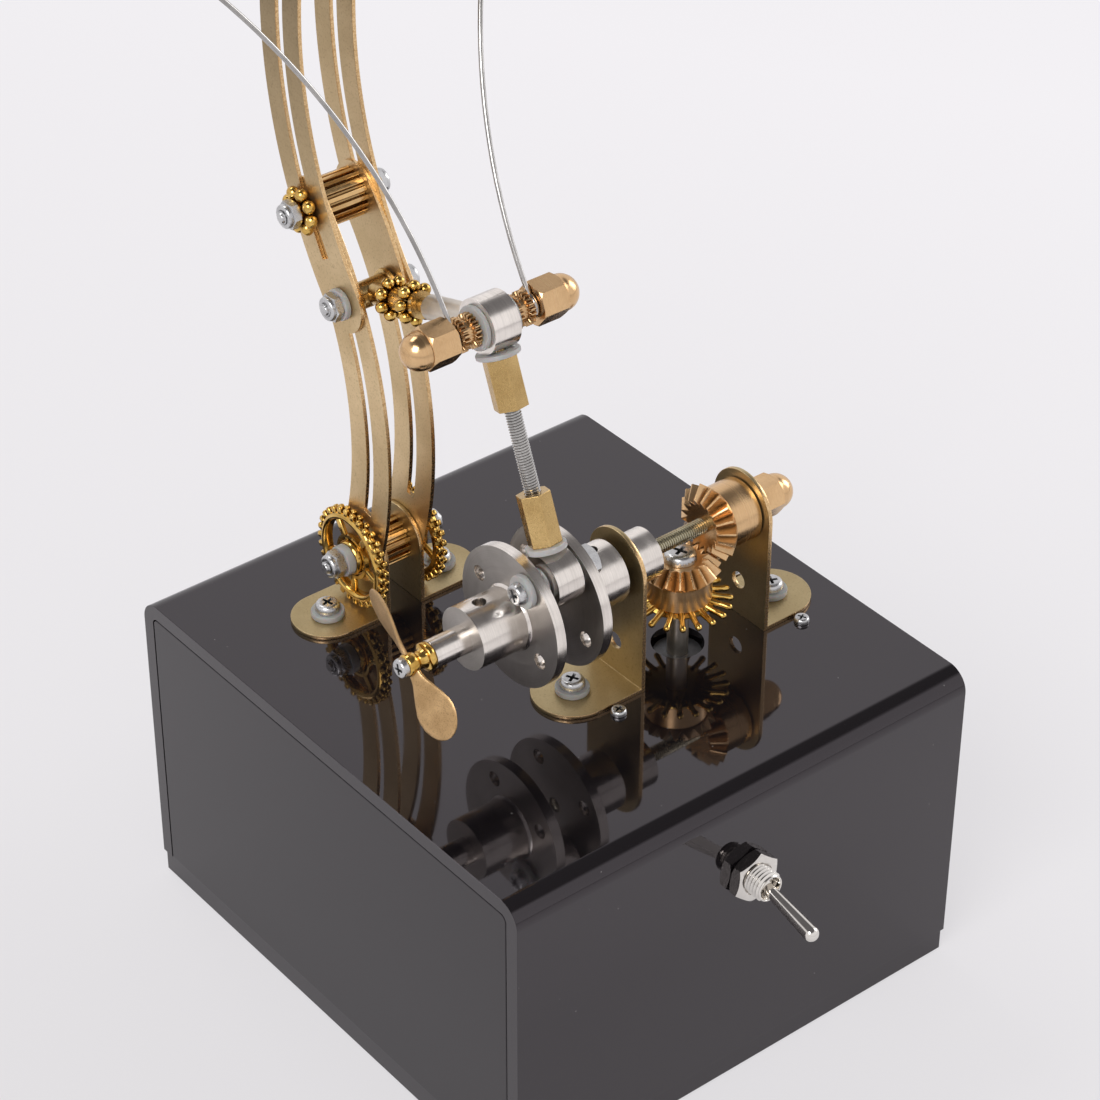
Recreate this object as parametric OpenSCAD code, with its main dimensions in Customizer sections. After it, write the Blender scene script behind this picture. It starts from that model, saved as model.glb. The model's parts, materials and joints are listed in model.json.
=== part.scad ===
// Motor driven desk sculpture drive: gloss black box with a toggle switch, a bevel gear driven crank with
// a propeller, a connecting rod with a cross yoke and two push wires, and a curved brass strip mast.
// Units are millimetres. X runs along the crank shaft, -Y is the switch face, Z is up.
// The origin is the centre of the underside of the bottom plate.

/* [Case] */
// outside width of the box along the crank shaft
case_w = 105; // [104:1:125]
// outside depth of the box from switch face to back
case_d = 114; // [112:1:140]
// height of the box top above the table
case_h = 67.2; // [62:0.2:80]
// thickness of the acrylic sheet of hood and side panels
sheet_t = 3; // [2.5:0.1:3.6]
// outside radius of the two hood bends
bend_r = 4.5; // [4:0.1:8]
// thickness of the bottom plate
plate_t = 4.8; // [4:0.1:6]
// inset of the bottom plate from the hood faces
plate_inset = 0.4; // [0.2:0.1:1]
// seam between the hood and a side panel
panel_seam = 0.15; // [0.1:0.05:0.3]

/* [Crank] */
// height of the crank shaft above the box top
shaft_rise = 24.1; // [23.5:0.1:27]
// position of the crank shaft and the motor from the middle of the box, negative is to the front
crank_y = -16.5; // [-18:0.5:-15]
// diameter of the threaded crank shaft, the crank pin and the yoke pin
shaft_d = 3; // [2.6:0.1:3]
// throw of the crank pin
crank_r = 9.75; // [9.4:0.05:10.2]
// crank pin angle at rest, from the front upwards
crank_angle = 61; // [55:1:70]
// diameter of the coupling flanges
flange_d = 27; // [26.5:0.1:28]
// thickness of the coupling flanges
flange_t = 2; // [1.6:0.1:2.2]
// diameter of the coupling hubs
hub_d = 12; // [11:0.1:12.4]
// length of the coupling hubs behind the flange
hub_len = 10.2; // [9.4:0.1:10.2]
// free gap between the two flanges
flange_gap = 8.3; // [8.1:0.1:8.6]
// position of the middle of the flange pair along the shaft
link_x = -16; // [-16.2:0.1:-15.8]
// diameter of the propeller stub shaft
stub_d = 5.3; // [4:0.1:5.4]
// tip radius of the propeller
prop_r = 14.6; // [12:0.1:17]
// pitch angle of the propeller blades
prop_pitch = 16; // [12:1:40]
// radial running clearance of shafts, pins and bores
run_gap = 0.05; // [0.04:0.01:0.08]

/* [Bevel gears] */
// position of the motor axis along the crank shaft
motor_x = 17.3; // [17.1:0.1:17.5]
// number of teeth of both bevel gears
bevel_teeth = 18; // [17:1:19]
// pitch radius of both bevel gears at the big end
bevel_r = 7.2; // [7.1:0.05:7.3]
// face width of the bevel teeth along the cone
bevel_face = 3.3; // [2.8:0.1:3.4]
// diameter of the bevel gear hubs
bevel_hub_d = 12.2; // [10:0.1:12.4]
// tip radius of the crown wheel under the motor gear
crown_r = 10; // [9:0.1:10.6]
// number of fingers of the crown wheel
crown_fingers = 20; // [16:1:22]

/* [Brackets] */
// thickness of the brass brackets
bracket_t = 0.9; // [0.7:0.05:1]
// width of the crank shaft brackets
bracket_w = 15.4; // [14:0.2:15.6]
// outer face of the inner shaft bracket along the shaft
bracket_a_x = 3; // [2.9:0.05:3.2]
// inner face of the outer shaft bracket along the shaft
bracket_b_x = 31.9; // [31.8:0.05:32.2]
// distance of a foot screw from its bracket upright
foot_reach = 11.3; // [10.6:0.1:12]
// distance of the outer foot screw from the side of its bracket upright
foot_side = 7.5; // [6.3:0.1:7.7]
// width of the mast brackets
mast_bracket_w = 14; // [13:0.5:15]

/* [Link] */
// distance from crank pin to yoke pin
rod_len = 47; // [46.5:0.1:47.5]
// lean of the connecting rod to the back at rest
rod_lean = 21.7; // [21:0.1:22.4]
// diameter of the two steel collars of the link
collar_d = 10.2; // [9.8:0.1:10.6]
// width of the two steel collars of the link
collar_w = 5.6; // [5.2:0.1:5.6]
// width across flats of the hexagon standoffs
hex_af = 5.5; // [5:0.1:5.8]
// length of the hexagon standoffs
hex_len = 9.5; // [8.5:0.1:10]
// width across flats of the dome nuts
dome_af = 7.2; // [6.6:0.1:7.4]
// length of the knurled yoke nuts
knurl_len = 4; // [3.4:0.1:4.2]
// diameter of the guide arm sleeve
sleeve_d = 4.6; // [4:0.1:5]
// number of beads in a bead ring
bead_count = 8; // [7:1:8]
// radius of the bead centre circle
bead_ring_r = 3.05; // [3:0.05:3.1]

/* [Wires] */
// diameter of the push wires
wire_d = 0.9; // [0.7:0.05:1]
// radius of the outward bow of the push wires
wire_arc = 115; // [110:1:130]
// swept angle of the bow of the push wires
wire_sweep = 43; // [34:1:44]
// lean of the push wires to the back
wire_lean = 33.4; // [32:0.2:35]

/* [Mast] */
// thickness of the mast strips
strip_t = 0.8; // [0.6:0.05:0.9]
// width of the mast strips over both legs
strip_w = 11.4; // [11:0.1:12]
// width of the long slot in the mast strips
slot_w = 2; // [1.6:0.1:2.4]
// free gap between the two inner mast strips
mast_gap = 9; // [9:0.05:9.2]
// middle line radius of the lower mast strips
lower_arc = 70; // [69:0.5:71]
// middle line radius of the upper mast strips
upper_arc = 80; // [79:0.5:81]
// angle of the upper strips above the height of their arc centre
upper_end = 19; // [12:1:20]
// diameter of the mast bolts
mast_bolt_d = 2.5; // [2:0.1:2.6]
// tip radius of the beaded wheels at the mast base
wheel_r = 10.2; // [9.5:0.1:10.3]
// number of teeth on a beaded wheel
wheel_beads = 30; // [24:1:32]

/* [Switch] */
// height of the toggle switch above the table
toggle_z = 48; // [44:0.5:50]
// diameter of the threaded switch bushing
bushing_d = 6; // [5.8:0.1:6.4]
// length of the bushing outside the front face
bushing_len = 6; // [5.5:0.1:8]
// length of the lever from its pivot
lever_len = 14.8; // [11:0.1:15]
// lever tilt from the middle, down at rest
lever_tilt = 13; // [10:0.5:13]

/* [Hidden] */
$fn = 64;
top_z = case_h;
under_z = case_h - sheet_t;
shaft_z = case_h + shaft_rise;
front_y = -case_d / 2;
shaft_r = shaft_d / 2;
bore_r = shaft_r + run_gap;
seat = 0.02;

// crank pin and yoke pin at rest
pin_y = crank_y - crank_r * cos(crank_angle);
pin_z = shaft_z + crank_r * sin(crank_angle);
yoke_y = pin_y + rod_len * sin(rod_lean);
yoke_z = pin_z + rod_len * cos(rod_lean);

// flange faces
left_in = link_x - flange_gap / 2;
right_in = link_x + flange_gap / 2;
left_out = left_in - flange_t;
right_out = right_in + flange_t;
hub_l_end = left_out - hub_len;
hub_r_end = right_out + hub_len;

// mast arcs: the lower arc bends back, the upper arc bends up again, both touch in one point
mast_y = 25.5;
lower_c = [mast_y + lower_arc, top_z + 35.8];
joint_turn = 31;
upper_c = [lower_c[0] - (lower_arc + upper_arc) * cos(joint_turn),
           lower_c[1] + (lower_arc + upper_arc) * sin(joint_turn)];
base_turn = -20.3;
head_turn = 39.3;
lap_turn = -36.5;
pivot = [lower_c[0] - lower_arc * cos(base_turn), lower_c[1] + lower_arc * sin(base_turn)];
joint = [lower_c[0] - lower_arc * cos(head_turn), lower_c[1] + lower_arc * sin(head_turn)];
lap = [upper_c[0] + upper_arc * cos(lap_turn), upper_c[1] + upper_arc * sin(lap_turn)];
mast_top = [upper_c[0] + upper_arc * cos(upper_end), upper_c[1] + upper_arc * sin(upper_end)];
in_x = mast_gap / 2;
mid_x = in_x + strip_t;
out_x = mid_x + strip_t;

// guide arm from the yoke to the lap of the mast
arm_dy = lap[0] - yoke_y;
arm_dz = lap[1] - yoke_z;
arm_len = sqrt(arm_dy * arm_dy + arm_dz * arm_dz);
arm_drop = atan2(-arm_dz, arm_dy);

// bevel gear cone: pitch cone of 45 degrees with the apex at the crossing of both axes
cone_len = bevel_r * sqrt(2);
tooth_add = 0.095 * bevel_r;
tooth_ded = 0.159 * bevel_r;
add_ang = atan(tooth_add / cone_len);
ded_ang = atan(tooth_ded / cone_len);
flank = 0.65;

// screws on the box top
foot_a = [bracket_a_x - bracket_t - foot_reach + 1.4, crank_y];
foot_b = [bracket_b_x + bracket_t + foot_side, crank_y];
mast_foot_x = foot_reach + 1.7;
foot_ml = [link_x - mast_foot_x, pivot[0]];
foot_mr = [link_x + mast_foot_x, pivot[0]];
feet = [foot_a, foot_b, foot_ml, foot_mr];
washer_d = 6.4;
washer_t = 1.2;
foot_screw_d = 2.5;
motor_c = [motor_x + 0.1, crank_y];
motor_at = [for (sx = [-1, 1]) for (sy = [-1, 1]) motor_c + [sx * 22.2, sy * 9.6]];

brass = [0.74, 0.62, 0.38];
warm = [0.80, 0.60, 0.36];
gold = [0.85, 0.64, 0.20];
nickel = [0.76, 0.74, 0.72];
nylon = [0.85, 0.87, 0.88];
black = [0.09, 0.09, 0.10];

// flat shape drawn in Y and Z, pulled along X from x0 over t
module yz(x0, t) translate([x0, 0, 0]) rotate([90, 0, 90]) linear_extrude(t) children();

// solid of revolution or rod whose own Z becomes X
module along_x(x, y, z) translate([x, y, z]) rotate([0, 90, 0]) children();

module both_sides() {
    children();
    translate([2 * link_x, 0, 0]) mirror([1, 0, 0]) children();
}

// plain ring along X
module ring_x(x0, x1, ro, ri, y, z) along_x(x0, y, z) difference() {
    cylinder(r = ro, h = x1 - x0);
    translate([0, 0, -1]) cylinder(r = ri, h = x1 - x0 + 2);
}

module rod_x(x0, x1, r, y, z) along_x(x0, y, z) cylinder(r = r, h = x1 - x0);

// hexagon nut along X with a round bore
module nut_x(x0, x1, af, ri, y, z) along_x(x0, y, z) difference() {
    rotate([0, 0, 30]) cylinder(r = af / sqrt(3), h = x1 - x0, $fn = 6);
    translate([0, 0, -1]) cylinder(r = ri, h = x1 - x0 + 2);
}

// dome nut with its flat end at the own origin, pointing along own Z
module dome_nut() difference() {
    union() {
        intersection() {
            rotate([0, 0, 30]) cylinder(r = dome_af / sqrt(3), h = 5.6, $fn = 6);
            rotate_extrude() polygon([[0, 0], [dome_af / 2 + 0.2, 0], [dome_af / 2 + 0.6, 0.5],
                [dome_af / 2 + 0.6, 5], [dome_af / 2, 5.6], [0, 5.6]]);
        }
        translate([0, 0, 5.5]) cylinder(d = dome_af - 0.4, h = 0.8);
        translate([0, 0, 6.2]) intersection() {
            sphere(d = dome_af - 0.4);
            cylinder(d = dome_af, h = dome_af);
        }
    }
    translate([0, 0, -1]) cylinder(r = bore_r, h = 7.5);
}

// low round screw head sitting on the own origin
module pan_head(d, h) rotate_extrude() intersection() {
    square([d / 2, h]);
    translate([0, h - d * 0.9]) circle(d * 0.9);
}

// one side of the bent hood sheet, seen along X
module hood_outer() union() {
    translate([front_y, plate_t]) square([case_d, case_h - plate_t - bend_r]);
    translate([front_y + bend_r, case_h - bend_r - 1]) square([case_d - 2 * bend_r, bend_r + 1]);
    for (s = [-1, 1]) translate([s * (case_d / 2 - bend_r), case_h - bend_r]) circle(bend_r);
}

module hood_inner(g) union() {
    r = bend_r - sheet_t;
    translate([front_y + sheet_t + g, plate_t - 1])
        square([case_d - 2 * sheet_t - 2 * g, case_h - sheet_t - g - r - plate_t + 1]);
    translate([front_y + sheet_t + r + g, case_h - sheet_t - g - r - 1])
        square([case_d - 2 * sheet_t - 2 * r - 2 * g, r + 1]);
    for (s = [-1, 1]) translate([s * (case_d / 2 - sheet_t - r - g), case_h - sheet_t - r - g]) circle(r);
}

module base_plate() color(black) difference() {
    translate([-case_w / 2 + plate_inset, front_y + plate_inset, 0])
        cube([case_w - 2 * plate_inset, case_d - 2 * plate_inset, plate_t]);
    for (p = block_at) translate([p[0], p[1], 0]) {
        translate([0, 0, -1]) cylinder(d = 3.1, h = plate_t + 2);
        translate([0, 0, -0.01]) cylinder(d1 = 6.4, d2 = 3, h = 1.8);
    }
}
block_at = [for (sx = [-1, 1]) for (sy = [-1, 1])
    [sx * (case_w / 2 - sheet_t - 5.2), sy * (case_d / 2 - sheet_t - 5.2)]];

module hood() color(black) difference() {
    yz(-case_w / 2, case_w) difference() {
        hood_outer();
        hood_inner(0);
    }
    translate([0, front_y + sheet_t + 1, toggle_z]) rotate([90, 0, 0])
        cylinder(d = bushing_d + 0.2, h = sheet_t + 2);
    translate([motor_x, crank_y, under_z - 1]) cylinder(d = 10, h = sheet_t + 2);
    for (p = feet) translate([p[0], p[1], under_z - 1]) cylinder(d = foot_screw_d + 0.1, h = sheet_t + 2);
    for (p = motor_at) translate([p[0], p[1], under_z - 1]) cylinder(d = 2.1, h = sheet_t + 2);
}

module side_panel(x0) color(black) yz(x0, sheet_t) difference() {
    hood_inner(panel_seam);
    translate([front_y, -20]) square([case_d, plate_t + 20]);
}
module side_panel_left() side_panel(-case_w / 2);
module side_panel_right() side_panel(case_w / 2 - sheet_t);

module corner_blocks() color([0.16, 0.16, 0.17]) for (p = block_at)
    translate([p[0], p[1], plate_t]) difference() {
        translate([-5, -5, 0]) cube([10, 10, 12]);
        translate([0, 0, -1]) cylinder(d = 3.1, h = 14);
    }

module base_screws() color(nickel) for (p = block_at) translate([p[0], p[1], 0.1]) union() {
    cylinder(d1 = 6, d2 = 3, h = 1.5);
    cylinder(d = 3, h = 13);
}

// gear motor under the sheet: mounting plate with notches for the bracket nuts, gear head, motor can
module gear_motor() color([0.55, 0.56, 0.58]) difference() {
    union() {
        translate([motor_c[0] - 26, motor_c[1] - 14, under_z - 1.6]) cube([52, 28, 1.6]);
        translate([motor_x - 17, crank_y - 8.5, under_z - 16]) cube([34, 17, 14.5]);
        translate([motor_x, crank_y, under_z - 42]) cylinder(d = 16.6, h = 26.2);
        translate([motor_x, crank_y, under_z - 44]) cylinder(d = 6, h = 2.2);
        translate([motor_x, crank_y, under_z - 0.1]) cylinder(d = 9, h = 1.2);
    }
    translate([motor_x, crank_y, under_z - 9]) cylinder(r = 2 + run_gap, h = 20);
    for (p = motor_at) translate([p[0], p[1], under_z - 3]) cylinder(d = 2.05, h = 4);
    for (p = [foot_a, foot_b]) translate([p[0], p[1], under_z - 3]) cylinder(r = 4, h = 4);
}

module motor_screws() color(nickel) for (p = motor_at) translate([p[0], p[1], 0]) union() {
    translate([0, 0, top_z]) pan_head(3, 1.1);
    translate([0, 0, under_z - 3]) cylinder(d = 2, h = sheet_t + 3.1);
}

// tray for two round cells, lying along X behind the motor
cell_d = 14.2;
cell_l = 50.4;
tray_c = [-14, case_d / 2 - 31];
module battery_holder() color([0.13, 0.13, 0.14]) translate([tray_c[0], tray_c[1], plate_t]) difference() {
    translate([-29, -16.4, 0]) cube([58, 32.8, 14]);
    for (s = [-1, 1]) {
        translate([-27.4, s * 7.4, 1.5 + cell_d / 2]) rotate([0, 90, 0]) cylinder(d = cell_d + 0.2, h = 54.8);
        translate([-27.4, s * 7.4 - cell_d / 2 - 0.1, 1.5 + cell_d / 2]) cube([54.8, cell_d + 0.2, 20]);
    }
}
module battery_cells() color([0.30, 0.36, 0.30])
    translate([tray_c[0], tray_c[1], plate_t + 1.5 + cell_d / 2]) for (s = [-1, 1])
        translate([-s, s * 7.4, -0.09]) rotate([0, s * 90, 0]) union() {
            translate([0, 0, -cell_l / 2]) cylinder(d = cell_d, h = cell_l - 1.6);
            translate([0, 0, cell_l / 2 - 1.7]) cylinder(d = 5.2, h = 1.7);
        }

// miniature switch: body behind the front sheet, bushing through it, three tags at the back
toggle_y = front_y + sheet_t;
pivot_y = front_y - bushing_len + 2.4;
module toggle_body() color([0.20, 0.22, 0.26]) difference() {
    union() {
        translate([-6.5, toggle_y, toggle_z - 4]) cube([13, 9.5, 8]);
        translate([0, toggle_y + 0.5, toggle_z]) rotate([90, 0, 0])
            cylinder(d = bushing_d, h = sheet_t + bushing_len + 0.5);
        for (i = [-1, 0, 1]) translate([i * 4.7 - 0.4, toggle_y + 9, toggle_z - 1]) cube([0.8, 4.5, 2]);
    }
    translate([0, pivot_y + 2.6, toggle_z]) rotate([90, 0, 0]) cylinder(d = 4.7, h = 20);
    translate([-0.4, front_y - bushing_len - 1, toggle_z + bushing_d / 2 - 0.4])
        cube([0.8, bushing_len + 0.5, 2]);
}
toggle_nut_flats = bushing_d + 3;
toggle_nut_h = 2.6;
module toggle_nut() color(nickel) translate([0, front_y - seat, toggle_z]) rotate([90, 0, 0]) difference() {
    rotate([0, 0, 20]) cylinder(r = toggle_nut_flats / sqrt(3), h = toggle_nut_h, $fn = 6);
    translate([0, 0, -1]) cylinder(d = bushing_d + 0.1, h = toggle_nut_h + 2);
}
module toggle_lever() color(nickel) translate([0, pivot_y, toggle_z]) rotate([90 + lever_tilt, 0, 0])
    union() {
        sphere(d = 3.6);
        rotate([0, 90, 0]) cylinder(d = 1.2, h = 4.2, center = true);
        cylinder(d1 = 2.1, d2 = 3, h = lever_len - 1.4);
        translate([0, 0, lever_len - 1.4]) sphere(d = 3);
    }

// angle bracket: upright across X with a round top, foot to the own +X side, upright from x = 0
module bracket(w, t, rise, reach, hole_r, spare) union() {
    yz(0, t) difference() {
        union() {
            translate([-w / 2, 0]) square([w, rise]);
            translate([0, rise]) circle(w / 2);
        }
        translate([0, rise]) circle(hole_r);
        if (spare > 0) translate([0, spare]) circle(1.7);
    }
    linear_extrude(t) difference() {
        union() {
            translate([t / 2, -w / 2]) square([reach - t / 2, w]);
            translate([reach, 0]) circle(w / 2);
        }
        translate([reach, 0]) circle(foot_screw_d / 2 + 0.05);
    }
}
module bracket_inner() color(brass) translate([bracket_a_x, crank_y, top_z]) mirror([1, 0, 0])
    bracket(bracket_w, bracket_t, shaft_rise, bracket_a_x - foot_a[0], bore_r, 7.6);
module bracket_outer() color(brass) translate([bracket_b_x, crank_y, top_z])
    bracket(bracket_w, bracket_t, shaft_rise, foot_b[0] - bracket_b_x, bore_r, 7.6);
mast_up_x = in_x - 0.05 - bracket_t;
module mast_bracket() translate([link_x + mast_up_x, pivot[0], top_z])
    bracket(mast_bracket_w, bracket_t, pivot[1] - top_z, mast_foot_x - mast_up_x, mast_bolt_d / 2 + 0.03, 0);
module mast_bracket_right() color(brass) mast_bracket();
module mast_bracket_left() color(brass) translate([2 * link_x, 0, 0]) mirror([1, 0, 0]) mast_bracket();

module foot_screws() color(nickel) for (p = feet) translate([p[0], p[1], 0]) union() {
    translate([0, 0, top_z + bracket_t + washer_t]) pan_head(4.4, 1.7);
    translate([0, 0, under_z - 3]) cylinder(d = foot_screw_d, h = sheet_t + bracket_t + washer_t + 3.1);
}
module foot_washers() color(nylon) for (p = feet) translate([p[0], p[1], top_z + bracket_t]) difference() {
    cylinder(d = washer_d, h = washer_t);
    translate([0, 0, -1]) cylinder(d = foot_screw_d + 0.1, h = 4);
}
module foot_nuts() color(nickel) for (p = feet) translate([p[0], p[1], under_z - 2]) difference() {
    cylinder(r = 5 / sqrt(3), h = 2, $fn = 6);
    translate([0, 0, -1]) cylinder(d = foot_screw_d + 0.05, h = 4);
}

// mast strips: ring sector with round ends and a long slot, drawn in Y and Z
module sector(c, r, w, a0, a1, far) intersection() {
    translate(c) difference() {
        circle(r + w / 2, $fn = 180);
        circle(r - w / 2, $fn = 180);
    }
    translate(c) polygon([[0, 0], far * [cos(a0), sin(a0)],
        far * [cos(a0 + (a1 - a0) / 3), sin(a0 + (a1 - a0) / 3)],
        far * [cos(a0 + 2 * (a1 - a0) / 3), sin(a0 + 2 * (a1 - a0) / 3)], far * [cos(a1), sin(a1)]]);
}
module strip(c, r, a0, a1, s0, s1) difference() {
    union() {
        sector(c, r, strip_w, a0, a1, 200);
        for (a = [a0, a1]) translate([c[0] + r * cos(a), c[1] + r * sin(a)]) circle(strip_w / 2);
    }
    sector(c, r, slot_w, s0, s1, 200);
    for (p = [pivot, joint, lap, mast_top]) translate(p) circle(mast_bolt_d / 2 + 0.03);
}
module lower_strip() strip(lower_c, lower_arc, 180 - head_turn, 180 - base_turn,
    180 - head_turn + 17, 180 - base_turn - 9);
module upper_strip() strip(upper_c, upper_arc, lap_turn, upper_end, lap_turn + 6, upper_end - 6);
module mast_lower_left() color(brass) yz(link_x - mid_x, strip_t) lower_strip();
module mast_lower_right() color(brass) yz(link_x + in_x, strip_t) lower_strip();
module mast_upper_left() color(brass) yz(link_x - out_x, strip_t) upper_strip();
module mast_upper_right() color(brass) yz(link_x + mid_x, strip_t) upper_strip();

// straight toothed spacer between the strips
module pinion(half, ro, teeth, p) along_x(link_x - half, p[0], p[1]) difference() {
    linear_extrude(2 * half) union() {
        circle(ro - 0.9);
        for (i = [0 : teeth - 1]) rotate(i * 360 / teeth)
            translate([ro - 1.4, -0.42]) square([1.4, 0.84]);
    }
    translate([0, 0, -1]) cylinder(d = mast_bolt_d + 0.06, h = 2 * half + 2);
}
module mast_base_pinion() color(warm) pinion(mast_up_x - 0.02, 4.4, 16, pivot);
module mast_joint_pinion() color(warm) pinion(in_x - 0.02, 4.6, 18, joint);

wheel_x1 = mid_x + 2.3;
// beaded wheel: rim, hub, five spokes and a row of round teeth, own axis Z with its hub face at the origin
module wheel_form() difference() {
    union() {
        translate([0, 0, 0.5]) difference() {
            cylinder(r = wheel_r - 1.1, h = 1.8);
            translate([0, 0, -1]) cylinder(r = wheel_r - 2.6, h = 4);
        }
        cylinder(r = 3.4, h = 2.7);
        for (i = [0 : 4]) rotate([0, 0, i * 72]) translate([3, -0.8, 0.9]) cube([wheel_r - 5.1, 1.6, 1]);
        for (i = [0 : wheel_beads - 1]) rotate([0, 0, i * 360 / wheel_beads])
            translate([wheel_r - 0.85, 0, 0.4]) cylinder(r = 0.85, h = 2);
    }
    translate([0, 0, -1]) cylinder(d = mast_bolt_d + 0.06, h = 5);
}
module wheel_one() along_x(link_x + mid_x + 0.02, pivot[0], pivot[1]) wheel_form();
module wheel_right() color(gold) wheel_one();
module wheel_left() color(gold) translate([2 * link_x, 0, 0]) mirror([1, 0, 0]) wheel_one();

wash_x1 = wheel_x1 + 2.2;
module mast_pivot_washers() color(nylon) both_sides()
    ring_x(link_x + wheel_x1 + 0.42, link_x + wash_x1, 3, mast_bolt_d / 2 + 0.03, pivot[0], pivot[1]);
module mast_pivot_bolt() color(nickel) union() {
    rod_x(link_x - wash_x1 - 3.6, link_x + wash_x1 + 3.6, mast_bolt_d / 2, pivot[0], pivot[1]);
    both_sides() nut_x(link_x + wash_x1 + 0.02, link_x + wash_x1 + 2.9, 4.8,
        mast_bolt_d / 2 - 0.1, pivot[0], pivot[1]);
}

bead_r = bead_ring_r * sin(180 / bead_count);
// ring of beads round a short sleeve, own axis Z, starting at the own origin
module bead_ring(bore) difference() {
    union() {
        cylinder(r = bead_ring_r - 0.2, h = 2 * bead_r);
        for (i = [0 : bead_count - 1]) rotate([0, 0, i * 360 / bead_count])
            translate([bead_ring_r, 0, bead_r]) sphere(r = bead_r, $fn = 32);
    }
    translate([0, 0, -1]) cylinder(r = bore, h = 2 * bead_r + 2);
}
module mast_bead_rings() color(gold) both_sides() along_x(link_x + out_x + 0.02, joint[0], joint[1])
    rotate([0, 0, 10]) bead_ring(mast_bolt_d / 2 + 0.03);
joint_nut = out_x + 0.04 + 2 * bead_r;
module mast_joint_bolt() color(nickel) union() {
    rod_x(link_x - joint_nut - 3.2, link_x + joint_nut + 3.2, mast_bolt_d / 2, joint[0], joint[1]);
    both_sides() nut_x(link_x + joint_nut, link_x + joint_nut + 2.6, 4.8,
        mast_bolt_d / 2 - 0.1, joint[0], joint[1]);
}
// short bolts at the lap: flush inside so that the gap stays free for the guide roller
module mast_lap_bolts() color(nickel) both_sides() union() {
    rod_x(link_x + in_x, link_x + out_x + 4, mast_bolt_d / 2, lap[0], lap[1]);
    nut_x(link_x + out_x + 1.24, link_x + out_x + 3.6, 4.8, mast_bolt_d / 2 - 0.1, lap[0], lap[1]);
}
module mast_lap_washers() color(nylon) both_sides()
    ring_x(link_x + out_x + 0.02, link_x + out_x + 1.22, 3, mast_bolt_d / 2 + 0.03, lap[0], lap[1]);

// crank train along the shaft axis
module crank_shaft() color([0.66, 0.62, 0.48])
    rod_x(right_in + 0.1, spacer_x1 + 5.8, shaft_r, crank_y, shaft_z);
spacer_x0 = bracket_b_x + bracket_t + 0.3;
spacer_t = 0.8;
spacer_x1 = spacer_x0 + spacer_t;
module crank_end_spacer() color(warm) ring_x(spacer_x0, spacer_x1, 3.1, shaft_r + 0.01, crank_y, shaft_z);
module crank_dome_nut() color(warm) along_x(spacer_x1 + seat, crank_y, shaft_z) dome_nut();
module crank_collar() color(nickel) difference() {
    ring_x(bracket_a_x + 0.3, bracket_a_x + 6.1, 5, shaft_r + 0.01, crank_y, shaft_z);
    translate([bracket_a_x + 3.2, crank_y, shaft_z]) rotate([-120, 0, 0]) cylinder(d = 2.4, h = 8);
}

// flange coupling: disc with four holes on the throw circle and a hub with a radial screw hole
module coupling(bore) difference() {
    union() {
        cylinder(d = flange_d, h = flange_t);
        translate([0, 0, flange_t - 0.1]) cylinder(d = hub_d, h = hub_len + 0.1);
        translate([0, 0, flange_t - 0.1]) cylinder(d1 = hub_d + 1, d2 = hub_d, h = 0.6);
    }
    translate([0, 0, -1]) cylinder(r = bore, h = hub_len + flange_t + 2);
    for (i = [0 : 3]) rotate([0, 0, i * 90]) translate([crank_r, 0, -1])
        cylinder(r = shaft_r + 0.02, h = flange_t + 2);
    rotate([0, 0, 94 - crank_angle]) translate([0, 0, flange_t + hub_len * 0.62]) rotate([0, 90, 0])
        cylinder(d = 2.6, h = 10);
}
// turn the hole circle so that one hole lies at the crank pin
module flange_left() color(nickel) translate([left_in, crank_y, shaft_z]) rotate([90 - crank_angle, 0, 0])
    rotate([0, -90, 0]) coupling(stub_d / 2 + 0.01);
module flange_right() color(nickel) translate([right_in, crank_y, shaft_z]) rotate([90 - crank_angle, 0, 0])
    mirror([1, 0, 0]) rotate([0, -90, 0]) coupling(shaft_r + 0.01);

module crank_pin() color(nickel) union() {
    rod_x(left_out - washer_t - 0.2, right_out + 3.2, shaft_r, pin_y, pin_z);
    translate([left_out - washer_t - 0.02, pin_y, pin_z]) rotate([0, -90, 0]) pan_head(4.2, 1.6);
    nut_x(right_out + 0.02, right_out + 2.4, 5.4, shaft_r - 0.1, pin_y, pin_z);
}
module crank_washers() color(nylon) union() {
    ring_x(left_out - washer_t, left_out - 0.02, washer_d / 2, shaft_r + 0.02, pin_y, pin_z);
    ring_x(left_in + 0.02, link_x - collar_w / 2 - 0.25, washer_d / 2, shaft_r + 0.02, pin_y, pin_z);
    ring_x(link_x + collar_w / 2 + 0.25, right_in - 0.02, washer_d / 2, shaft_r + 0.02, pin_y, pin_z);
}

stub_end = hub_l_end - 7.4;
module stub_shaft() color(nickel) difference() {
    rod_x(stub_end, left_in - 0.2, stub_d / 2, crank_y, shaft_z);
    rod_x(stub_end - 1, stub_end + 6, 1.02, crank_y, shaft_z);
}
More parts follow.
